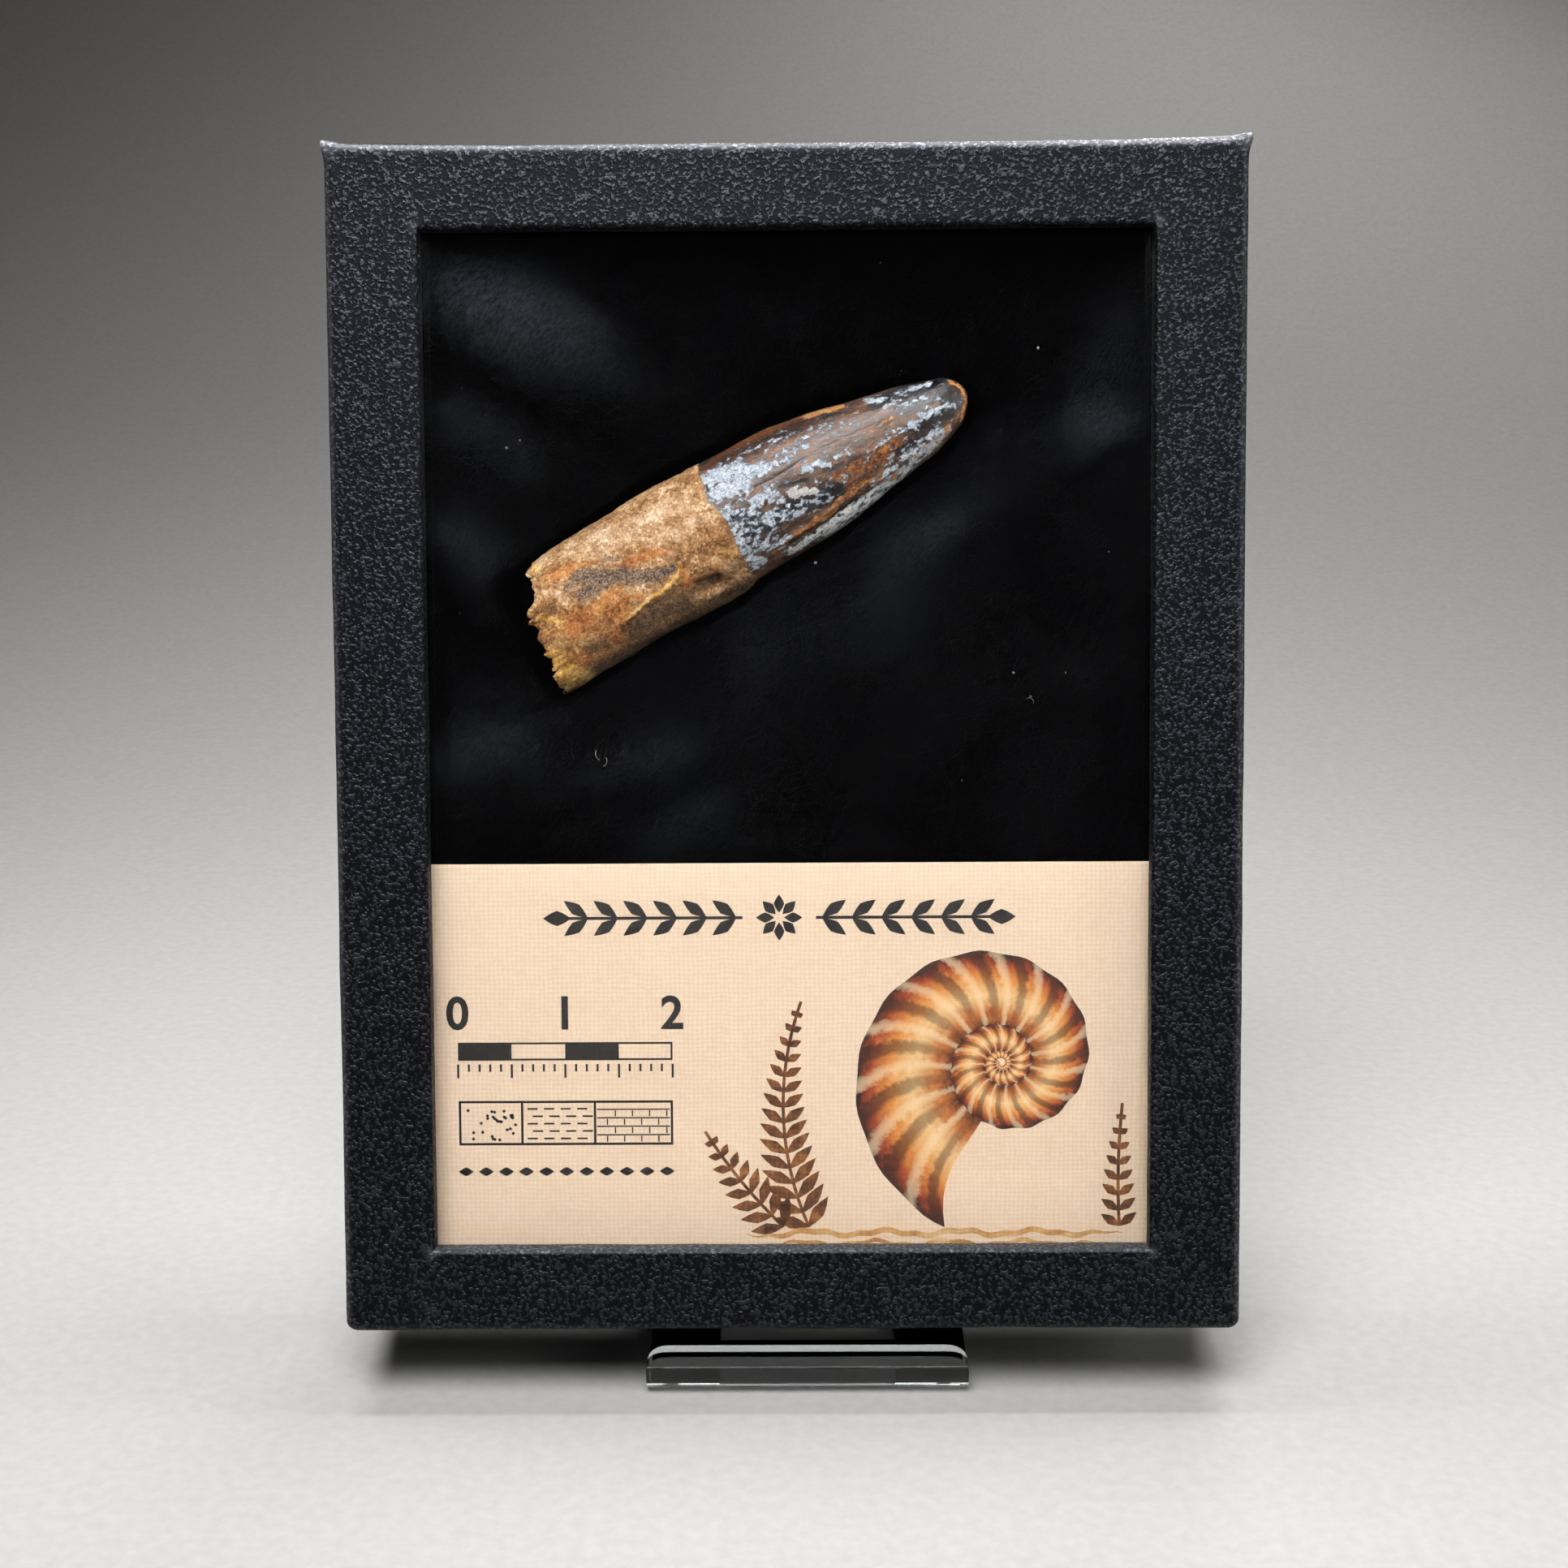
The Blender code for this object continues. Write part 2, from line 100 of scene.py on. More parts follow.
def new_material(name):
    """A node material with its tree, its shader and its Object coordinates in millimetres."""
    made = bpy.data.materials.new(name)
    made.use_nodes = True
    tree = made.node_tree
    coords = add_node(tree, "TexCoord")
    to_mm = add_node(tree, "Mapping", {"Vector": coords.outputs["Object"],
                                       "Scale": (1000, 1000, 1000)})
    return made, tree, tree.nodes["Principled BSDF"], to_mm


def add_node(tree, kind, inputs=None, stops=(), **settings):
    """Add a shader node, set its properties and colour stops, and give inputs values or links."""
    made = tree.nodes.new("ShaderNode" + kind)
    for name, value in settings.items():
        setattr(made, name, value)
    for _ in stops[2:]:
        made.color_ramp.elements.new(0.5)
    for index, (position, hex_code) in enumerate(stops):
        element = made.color_ramp.elements[index]
        element.position, element.color = position, colour(hex_code)
    set_inputs(tree, made, inputs or {})
    return made


def set_inputs(tree, target, inputs):
    """Give a node's inputs values, or link them from a socket or from a node's first output."""
    for name, value in inputs.items():
        if isinstance(value, bpy.types.Node):
            value = value.outputs[0]
        if isinstance(value, bpy.types.NodeSocket):
            tree.links.new(value, target.inputs[name])
        else:
            target.inputs[name].default_value = value


def verts_of(geom):
    """The corners among what a bmesh operator gives back."""
    return [item for item in geom if isinstance(item, bmesh.types.BMVert)]


def into_mesh(bm, name):
    """A mesh written from a bmesh, which is freed."""
    mesh = bpy.data.meshes.new(name)
    bm.to_mesh(mesh)
    bm.free()
    return mesh


FLOOR_REACH, BACKDROP_RISE = 0.9, 0.6
SWEEP_START, SWEEP_RADIUS, SWEEP_STEPS = 0.12, 0.6, 32
paper_white, tree, shader, mm = new_material("pale backdrop paper")
fine = add_node(tree, "TexNoise", {"Vector": mm, "Scale": 0.8, "Detail": 4})
tint = add_node(tree, "ValToRGB", {"Fac": fine}, [(0.3, "#787775"), (0.7, "#7E7D7B")])
set_inputs(tree, shader, {"Base Color": tint, "Roughness": 0.9, "Specular IOR Level": 0.0})
bm = bmesh.new()
last = bm.verts.new((-FLOOR_REACH, SWEEP_START, 0))
bm.edges.new((bm.verts.new((-FLOOR_REACH, -FLOOR_REACH, 0)), last))
for step in range(1, SWEEP_STEPS + 1):
    rise = math.pi / 2 * step / SWEEP_STEPS
    last = bmesh.ops.extrude_vert_indiv(bm, verts=[last])["verts"][0]
    last.co = (-FLOOR_REACH, SWEEP_START + SWEEP_RADIUS * math.sin(rise),
               SWEEP_RADIUS * (1 - math.cos(rise)))
bmesh.ops.extrude_vert_indiv(bm, verts=[last])["verts"][0].co.z += BACKDROP_RISE
across = bmesh.ops.extrude_edge_only(bm, edges=bm.edges[:])["geom"]
bmesh.ops.translate(bm, vec=(2 * FLOOR_REACH, 0, 0), verts=verts_of(across))
bmesh.ops.recalc_face_normals(bm, faces=bm.faces)
mesh = into_mesh(bm, "floor")
mesh.shade_smooth()
mesh.materials.append(paper_white)
floor = set_in_scene("floor", mesh)

for name, at, aim, size, spread, watts in (
        ("key light", (-0.05, -0.205, 0.40), (0, 0, 0.06), (0.24, 0.17), 80, 1.0),
        ("low strip", (0, -0.2, 0.225), (0, 0, 0.07), (0.2, 0.04), 120, 0.19),
        ("top strip", (0, 0.05, 0.30), (0, 0.02, 0.11), (0.32, 0.05), 120, 0.9),
        ("side light", (0.42, -0.22, 0.20), (0, 0, 0.06), (0.20, 0.20), 70, 0.22),
        ("back light", (0.16, 0.46, 0.36), (0, 0, 0.05), (0.24, 0.16), 180, 2.2)):
    lamp = bpy.data.lights.new(name, "AREA")
    lamp.shape = "RECTANGLE"
    lamp.size, lamp.size_y = size
    lamp.spread = math.radians(spread)
    lamp.energy = watts
    light = set_in_scene(name, lamp)
    light.location = at
    light.rotation_euler = (Vector(aim) - Vector(at)).to_track_quat("-Z", "Y").to_euler()
world = bpy.data.worlds.new("studio")
world.use_nodes = True
set_inputs(world.node_tree, world.node_tree.nodes["Background"],
           {"Color": colour("#F2F4F6"), "Strength": 0.012})
scene.world = world
scene.view_settings.view_transform = "Standard"


# Tray: a shallow box of grey board covered in plain black paper, which slides into the lid
# behind the glass. Its paper is turned in over the back in four flaps with mitred corners.
INNER_WIDTH = FACE_WIDTH - 3.5
INNER_HEIGHT = FACE_HEIGHT - 3.5
TRAY_FRONT = 4.2
TRAY_WALL, TRAY_BACK = 1.3, 1.5
FLAP_WIDTH, FLAP_THICKNESS, MITRE_GAP = 11.0, 0.12, 0.09
NEAR = 0.01


def board(low, high):
    """A bmesh box between two corners."""
    made = bmesh.new()
    size = [b - a for a, b in zip(low, high)]
    middle = [(a + b) / 2 for a, b in zip(low, high)]
    bmesh.ops.create_cube(made, size=1.0,
                          matrix=Matrix.Translation(middle) @ Matrix.Diagonal((*size, 1.0)))
    return made


def round_edges(bm, edges, radius, segments):
    bmesh.ops.bevel(bm, geom=edges, offset=radius, offset_type="OFFSET", segments=segments,
                    profile=0.5, affect="EDGES", material=-1)


def moved_verts(bm, faces, vec):
    """Shift the corners of some faces."""
    bmesh.ops.translate(bm, verts=list({v for face in faces for v in face.verts}), vec=vec)


def slice_up(bm, axis, places):
    """Cut a bmesh by planes across one axis, so that it can wave."""
    normal = Vector((0, 0, 0))
    normal[axis] = 1.0
    for at in places:
        bmesh.ops.bisect_plane(bm, geom=bm.verts[:] + bm.edges[:] + bm.faces[:],
                               plane_co=normal * at, plane_no=normal, dist=1e-4)


def finish_piece(bm, name, look, place=BOX_PLACE, sharp=None):
    """Set a bmesh in its place, in metres, as a named piece of the object."""
    bmesh.ops.recalc_face_normals(bm, faces=bm.faces)
    bmesh.ops.transform(bm, matrix=place, verts=bm.verts)
    return add_piece(into_mesh(bm, name), name, look, sharp)


def add_piece(mesh, name, look, sharp=None):
    """A named piece of the object from a finished mesh, with its material."""
    mesh.materials.clear()
    mesh.materials.append(look)
    mesh.shade_smooth()
    if sharp is not None:
        mesh.set_sharp_from_angle(angle=math.radians(sharp))
    obj = set_in_scene(name, mesh)
    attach(obj, "root")
    return obj


# Plain black paper: dyed through and calendered, so it is matt with faint fibres.
plain_paper, tree, shader, mm = new_material("plain black paper")
fibres = add_node(tree, "TexNoise", {"Vector": mm, "Scale": 2.2, "Detail": 6, "Roughness": 0.7})
shade = add_node(tree, "ValToRGB", {"Fac": fibres}, [(0.3, "#131314"), (0.75, "#232325")])
relief = add_node(tree, "Bump", {"Height": fibres, "Strength": 0.5, "Distance": 0.00006})
set_inputs(tree, shader, {"Base Color": shade, "Roughness": 0.72, "Normal": relief})

half_width = INNER_WIDTH / 2
low_edge = (FACE_HEIGHT - INNER_HEIGHT) / 2
bm = board((-half_width, TRAY_FRONT, low_edge),
           (half_width, BOX_DEPTH - FLAP_THICKNESS, low_edge + INNER_HEIGHT))
front = min(bm.faces, key=lambda face: face.calc_center_median().y)
bmesh.ops.inset_individual(bm, faces=[front], thickness=TRAY_WALL)
front = bmesh.ops.extrude_discrete_faces(bm, faces=[front])["faces"]
moved_verts(bm, front, (0, BOX_DEPTH - TRAY_BACK - TRAY_FRONT, 0))
outer = [e for e in bm.edges if all(
    abs(v.co.x) > half_width - NEAR
    or min(v.co.z - low_edge, low_edge + INNER_HEIGHT - v.co.z) < NEAR for v in e.verts)]
round_edges(bm, outer, 0.3, 3)
back = max(bm.faces, key=lambda face: (round(face.calc_center_median().y, 3), face.calc_area()))
flaps = bmesh.ops.inset_individual(bm, faces=[back], thickness=FLAP_WIDTH)["faces"]
bmesh.ops.inset_individual(bm, faces=flaps, thickness=MITRE_GAP)
moved_verts(bm, bmesh.ops.extrude_discrete_faces(bm, faces=flaps)["faces"],
            (0, FLAP_THICKNESS, 0))
tray = finish_piece(bm, "tray_body", plain_paper, sharp=35)
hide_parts("tray")


# Tooth: a fossil crown of thin glossy enamel on a broken root that keeps a crust of sand. It is
# one natural piece. Its rings run from the broken base to the worn tip, and its grain, keel,
# groove and pits are raised in the mesh.
TOOTH_ACROSS, TOOTH_UP = -22.54, 64.28
TOOTH_SLOPE = math.radians(28.49)
TOOTH_LENGTH = 44.9
TIP_CAP = 2.2
TOOTH_SHAFT = TOOTH_LENGTH - TIP_CAP
TOOTH_RINGS, TOOTH_TURNS = 384, 252
BASE_RINGS, TIP_RINGS = 34, 22
FRONT_CROWDING = 0.35
UPPER_EDGE = ((0, 6.2), (3, 6.65), (6, 6.85), (11, 7.1), (15, 7.28), (19, 7.1), (22.5, 7.05),
              (26.5, 6.98), (29.5, 6.55), (32, 6.1), (34.3, 5.5), (36.5, 5.0), (39.4, 4.4),
              (42.7, 3.3))
LOWER_EDGE = ((0, -5.8), (6, -5.5), (10, -5.4), (14.6, -5.6), (18.4, -5.5), (20, -5.12),
              (25, -4.9), (28, -4.78), (30.1, -4.6), (32.2, -4.2), (34.4, -3.7), (38.4, -3.1),
              (40.1, -2.8), (42.7, -1.9))
CROWN_EDGE = ((-6.5, 19.9), (-4.4, 19.4), (-3.2, 19.42), (-1.95, 19.35), (-0.6, 19.64),
              (0.6, 19.7), (1.94, 19.5), (3.4, 19.1), (4.75, 19.36), (6.7, 19.8), (7.8, 20.3))
BROKEN_BASE = ((-7, -1.3), (-5.9, -1.2), (-4.4, -1.15), (-3.5, -0.9), (-2.5, -0.75),
               (-1.1, -0.5), (-0.3, -0.55), (0.65, -0.4), (1.75, -0.55), (2.6, -0.2),
               (2.95, 0.5), (3.9, 1.1), (4.4, 0.95), (4.9, 1.2), (5.8, 0.95), (6.3, 1.3),
               (7.5, 1.5))


def curve_through(points, at):
    """Value of a smooth curve through (place, value) points, by Catmull-Rom spans."""
    last = len(points) - 2
    span = max(i for i in range(last + 1) if points[i][0] <= at or i == 0)
    (x1, y1), (x2, y2) = points[span], points[span + 1]
    x0, y0 = points[span - 1] if span > 0 else (2 * x1 - x2, 2 * y1 - y2)
    x3, y3 = points[span + 2] if span < last else (2 * x2 - x1, 2 * y2 - y1)
    t = (at - x1) / (x2 - x1)
    start = (y2 - y0) / (x2 - x0) * (x2 - x1)
    end = (y3 - y1) / (x3 - x1) * (x2 - x1)
    rise = y2 - y1
    return y1 + start * t + (3 * rise - 2 * start - end) * t**2 + (start + end - 2 * rise) * t**3


def bump(distance, reach):
    """One at no distance and falling smoothly to nothing."""
    return math.exp(-((distance / reach) ** 2))


def step_up(value, low, high):
    """Nothing below low, one above high and smooth between."""
    t = min(1.0, max(0.0, (value - low) / (high - low)))
    return t * t * (3 - 2 * t)


def stroke(s, n, marks):
    """Strongest of some soft marks, each a line on the tooth from one place to another."""
    best = 0.0
    for s1, n1, s2, n2, reach, strength in marks:
        if s < min(s1, s2) - 3 * reach or s > max(s1, s2) + 3 * reach:
            continue
        run, climb = s2 - s1, n2 - n1
        square = run * run + climb * climb
        t = 0.0 if square == 0 else ((s - s1) * run + (n - n1) * climb) / square
        t = min(1.0, max(0.0, t))
        off = math.hypot(s - s1 - t * run, n - n1 - t * climb)
        best = max(best, strength * bump(off, reach))
    return best


# Marks on the tooth, each a line: distance along the axis and off it at one end and at the
# other, reach and strength. The root's marks come first and the crown's after them.
# The pit is sunk into the mesh and painted dark inside as well, painted shade in it; its rim is
# raised and painted paler.
PIT = ((14.9, -3.3, 16.5, -3.6, 0.56, 1.0),)
PIT_RIM = ((14.3, -2.5, 16.6, -2.6, 0.24, 0.7), (17.1, -2.9, 17.6, -3.9, 0.24, 0.8),
           (17.4, -4.2, 15.4, -4.55, 0.3, 0.9), (15.2, -4.5, 14.0, -3.8, 0.24, 0.7))
NODULE = ((13.3, 0.9, 14.2, 0.6, 0.36, 1.0), (14.4, -0.1, 14.5, -0.3, 0.24, 0.7),
          (15.8, -1.1, 15.8, -0.75, 0.18, 0.8))
OCHRE_RIDGE = ((6.9, -2.6, 8.2, -2.3, 0.2, 0.7), (8.2, -2.3, 10.2, -1.9, 0.22, 0.9),
               (10.2, -1.9, 11.8, -1.8, 0.24, 1.0), (11.8, -1.8, 13.3, -1.35, 0.24, 1.0),
               (13.3, -1.35, 14.1, -0.4, 0.2, 0.8))
SLATE = ((3.9, 2.6, 5.6, 3.0, 0.7, 0.78), (5.4, 3.0, 7.6, 1.9, 0.85, 1.1),
         (4.7, 1.4, 7.8, 1.3, 0.75, 1.0), (7.6, 1.6, 9.2, 1.2, 0.7, 1.1),
         (9.0, 0.8, 11.8, -0.45, 0.75, 1.1), (11.6, -0.5, 13.2, -0.55, 0.55, 1.05),
         (13.2, -0.4, 13.8, -0.25, 0.3, 0.8), (7.9, 3.3, 9.6, 2.6, 0.22, 0.9))
ROOT_ORANGE = ((9.6, 1.95, 12.8, 1.5, 0.6, 0.72), (12.8, 1.4, 13.3, 1.0, 0.35, 0.8),
               (3.0, 4.1, 5.4, 4.0, 0.6, 0.9), (5.4, 4.0, 7.4, 3.4, 0.35, 0.6),
               (6.2, 0.3, 8.2, 0.0, 0.4, 0.8), (9.3, 0.4, 10.3, 0.2, 0.26, 0.8),
               (7.8, -0.6, 9.6, -1.3, 0.35, 0.8), (5.4, -0.5, 7.4, -1.2, 0.8, 0.9),
               (3.0, -0.7, 6.4, -2.0, 1.4, 1.0), (3.6, -3.0, 5.8, -3.5, 0.8, 0.75),
               (13.8, -1.1, 14.0, -2.6, 0.5, 1.0), (1.0, -3.4, 5.0, -4.4, 1.0, 0.7),
               (2.0, 4.6, 3.6, 4.7, 0.4, 0.5))
ROOT_WARM = ((1.0, 4.4, 6.0, 4.2, 1.2, 0.6), (1.0, 0.5, 6.5, -2.0, 2.6, 0.9),
             (1.0, -3.0, 8.0, -5.0, 1.8, 0.9), (13.5, -2.0, 18.0, -4.0, 1.6, 0.7),
             (17.6, 1.2, 18.8, -3.0, 1.0, 0.75), (8.0, -4.8, 15.0, -5.4, 1.0, 0.6))
# Dark marks on the root: the brown-grey flank under the ochre ridge and the dark spots are its own
# colour; the strokes along the lower edge are painted shade, darkening the lower flank where the
# light falls off.
ROOT_DARK_AND_PAINTED_SHADE = ((7.2, -3.7, 10.4, -3.6, 1.3, 0.95), (10.4, -3.5, 12.6, -4.0, 1.2, 0.95),
              (9.6, -2.7, 12.3, -2.6, 0.5, 0.9), (6.0, -4.7, 13.0, -4.9, 1.6, 0.6),
              (12.4, -3.3, 14.1, -3.2, 0.8, 0.8), (17.5, -3.4, 19.0, -3.0, 0.7, 0.65),
              (0.6, -6.0, 18.8, -6.0, 1.7, 1.3),
              (14.6, -5.1, 19.0, -4.9, 0.7, 0.8), (4.7, -1.8, 5.7, -2.2, 1.1, 0.5),
              (3.3, -3.3, 4.6, -3.5, 1.1, 0.78), (4.2, -1.5, 6.0, -2.9, 1.2, 0.4),
              (0.4, 0.5, 0.7, 0.6, 0.22, 0.9), (1.7, 5.2, 2.0, 5.2, 0.26, 0.8),
              (1.0, 4.8, 2.4, 5.0, 0.5, 0.5), (1.2, -4.8, 5.0, -5.4, 0.5, 0.5))
ROOT_PALE = ((8.0, 4.6, 17.0, 4.4, 1.5, 0.8), (13.0, 2.6, 18.0, 1.8, 1.2, 0.7),
             (0.7, 1.6, 2.2, 1.3, 0.4, 0.9),
             (2.8, 2.6, 3.2, 1.2, 0.5, 0.9), (5.0, 5.4, 9.0, 6.0, 0.8, 0.6),
             (1.8, 1.0, 3.0, 0.2, 0.5, 0.7), (1.6, -0.6, 2.0, -1.4, 0.4, 0.5))
ROOT_YELLOW = ((-0.6, -3.6, 1.0, -4.2, 0.7, 1.0), (-0.5, -1.5, 1.4, -5.2, 0.9, 0.75),
               (-0.4, -0.9, 0.8, -2.4, 0.5, 0.8), (0.9, 5.2, 2.0, 5.8, 0.6, 0.8),
               (-0.4, 1.6, 0.6, 0.6, 0.35, 0.6), (0.8, 1.4, 1.8, 0.3, 0.5, 0.7),
               (-0.9, -5.2, 0.6, -5.4, 0.4, 0.7))
HOLLOW = ((7.0, -3.1, 12.5, -2.6, 0.5, 1.0),)
CRUST = ((20.5, 5.0, 23.2, 4.3, 0.85, 1.25), (20.3, 3.5, 22.6, 3.2, 0.95, 1.25),
         (23.2, 4.0, 25.4, 3.3, 0.7, 1.1), (25.4, 3.5, 27.0, 3.3, 0.45, 0.85),
         (27.6, 3.7, 29.6, 3.3, 0.42, 0.64), (19.8, 5.4, 20.2, 3.0, 0.5, 0.9),
         (28.3, 1.6, 29.6, 1.4, 0.42, 1.05), (29.6, 1.3, 30.4, 0.8, 0.4, 0.95),
         (31.3, 1.2, 32.6, 0.9, 0.26, 0.72), (22.6, 1.2, 24.6, 1.2, 0.6, 0.9),
         (24.2, 0.6, 25.0, 0.2, 0.5, 0.8), (20.4, 1.6, 22.0, 0.6, 0.6, 0.66),
         (20.0, 1.4, 19.8, -0.6, 0.5, 0.85), (19.8, -0.6, 19.9, -2.4, 0.6, 0.95),
         (19.9, -2.4, 20.6, -3.8, 0.75, 0.95), (21.0, -0.4, 25.0, -1.2, 1.2, 0.56),
         (25.0, -1.2, 28.6, -1.7, 0.9, 0.5), (20.8, -2.2, 23.0, -3.0, 0.8, 0.7),
         (23.0, -2.9, 24.0, -3.1, 0.3, 0.85), (36.2, 4.4, 37.6, 3.9, 0.4, 0.85),
         (37.4, 3.0, 38.9, 3.1, 0.4, 0.7), (39.2, 3.5, 39.8, 3.5, 0.3, 0.7),
         (40.4, 3.4, 42.0, 3.1, 0.3, 1.0), (36.6, 0.5, 38.2, 0.2, 0.32, 0.75),
         (38.6, 0.4, 39.6, 0.3, 0.42, 0.85), (40.0, 0.7, 41.6, 0.4, 0.42, 0.92),
         (40.6, -0.6, 41.2, -0.8, 0.3, 0.85), (42.0, 0.6, 43.0, 0.1, 0.4, 0.62),
         (35.0, -2.2, 38.4, -1.8, 0.7, 0.66), (38.4, -1.6, 41.0, -1.2, 0.6, 0.62),
         (34.0, 0.2, 36.0, 0.4, 0.4, 0.42), (32.4, -2.4, 35.2, -2.6, 0.4, 0.5),
         (22.0, 5.6, 30.0, 4.6, 0.9, 0.3), (30.0, 4.6, 35.0, 3.6, 0.7, 0.3),
         (39.0, 2.4, 42.0, 1.6, 0.6, 0.46), (28.8, -0.2, 31.0, -0.9, 0.6, 0.4))
# Dark marks on the crown are its own black and slate, except the last three strokes, under the keel
# along its groove, which are painted shade under that ridge.
CROWN_DARK = ((20.6, 1.0, 22.6, -0.4, 1.0, 0.8), (21.4, -0.8, 25.0, -1.2, 1.3, 0.85),
              (25.0, -0.9, 30.0, -1.7, 1.1, 0.9), (20.8, -2.2, 23.6, -2.6, 0.8, 0.6),
              (37.0, 3.9, 43.2, 2.7, 0.9, 0.95), (38.6, 2.2, 43.0, 1.4, 0.8, 0.85),
              (40.4, -0.2, 43.2, 0.2, 1.0, 1.0), (38.2, 0.2, 40.4, -0.6, 0.7, 0.7),
              (36.6, -1.2, 40.8, -0.9, 0.6, 0.7), (29.6, 0.6, 33.8, 0.1, 0.5, 0.55),
              (25.6, 1.25, 28.0, 0.55, 0.26, 0.9), (25.4, -0.2, 28.6, -1.0, 0.24, 0.9),
              (21.4, 6.0, 33.0, 5.0, 1.2, 0.6), (33.5, -1.6, 35.0, -2.0, 0.4, 0.5),
              (22.6, -4.6, 26.0, -4.6, 0.3, 0.7), (26.0, -3.65, 31.2, -3.0, 0.18, 0.8),
              (31.2, -3.2, 35.0, -3.0, 0.2, 0.8))
CRACK = ((20.8, 2.0, 23.4, 2.3, 0.13, 0.8), (23.4, 2.3, 26.6, 2.25, 0.13, 1.0),
         (26.6, 2.25, 29.0, 2.5, 0.12, 0.9), (29.0, 2.5, 32.0, 2.4, 0.1, 0.65),
         (32.0, 2.4, 36.4, 2.1, 0.09, 0.4))
RUST = ((30.6, -0.5, 33.4, -0.6, 0.9, 0.9), (33.4, -0.6, 36.8, -0.6, 0.95, 1.0),
        (29.4, -2.0, 33.0, -2.0, 0.6, 0.7), (24.7, -0.3, 25.4, -0.4, 0.35, 0.8),
        (22.0, 6.3, 31.0, 5.4, 1.3, 0.9), (24.0, 4.9, 29.0, 4.4, 0.5, 0.5),
        (22.4, 2.15, 29.0, 2.1, 0.28, 0.8), (33.8, 4.3, 37.2, 3.6, 0.5, 0.4))
PALE_LENS = ((25.9, 0.45, 26.8, 0.4, 0.24, 0.85), (26.3, 0.0, 27.4, -0.25, 0.42, 1.0),
             (27.3, -0.3, 28.2, -0.65, 0.32, 0.95))
KEEL = ((22.2, -3.8, 24.6, -3.3, 0.26, 0.9), (24.6, -3.3, 28.3, -3.05, 0.3, 1.1),
        (28.3, -3.05, 30.4, -2.4, 0.32, 1.1), (30.4, -2.4, 32.4, -2.2, 0.28, 1.0),
        (32.4, -2.2, 35.2, -2.6, 0.24, 1.0))
GROOVE = ((24.5, -2.65, 31.5, -2.2, 0.35, 1.0), (22.0, -3.9, 34.0, -3.2, 0.3, 0.9))
PALE_RIM = ((23.6, -4.3, 27.0, -4.2, 0.4, 0.85), (27.0, -4.2, 30.3, -3.9, 0.55, 1.1),
            (30.3, -3.9, 34.5, -3.3, 0.55, 1.15),
            (34.5, -3.3, 37.0, -2.7, 0.55, 1.0), (37.0, -2.7, 40.0, -2.1, 0.5, 0.95),
            (40.0, -2.1, 41.8, -1.5, 0.35, 0.8))
TAN_SPOTS = ((30.8, 6.0, 34.2, 5.15, 0.36, 1.0), (35.4, 1.9, 37.4, 1.8, 0.5, 0.5),
             (23.3, -3.0, 23.7, -3.3, 0.26, 0.9), (35.0, -2.9, 35.6, -2.8, 0.26, 0.9),
             (37.4, -2.3, 37.9, -2.2, 0.3, 1.0), (38.8, -2.0, 39.1, -2.0, 0.26, 0.9),
             (40.1, -1.8, 40.4, -1.75, 0.24, 0.9), (41.1, -1.5, 41.6, -1.45, 0.34, 1.0),
             (43.9, 2.5, 44.5, 1.4, 0.2, 1.0), (44.5, 1.4, 44.5, -0.2, 0.24, 1.0),
             (44.5, -0.2, 43.3, -1.5, 0.2, 0.9))


def tooth_half_depth(s):
    return 0.82 * (curve_through(UPPER_EDGE, s) - curve_through(LOWER_EDGE, s)) / 2


def tooth_middle_depth(s):
    """The tooth lies with its front near the glass, so a thinner place has its middle nearer."""
    return 6.05 + 0.68 * tooth_half_depth(s)


def cell(point):
    """Distance to the nearest of some scattered grains, in grain spacings."""
    return noise.voronoi(point)[0][0]


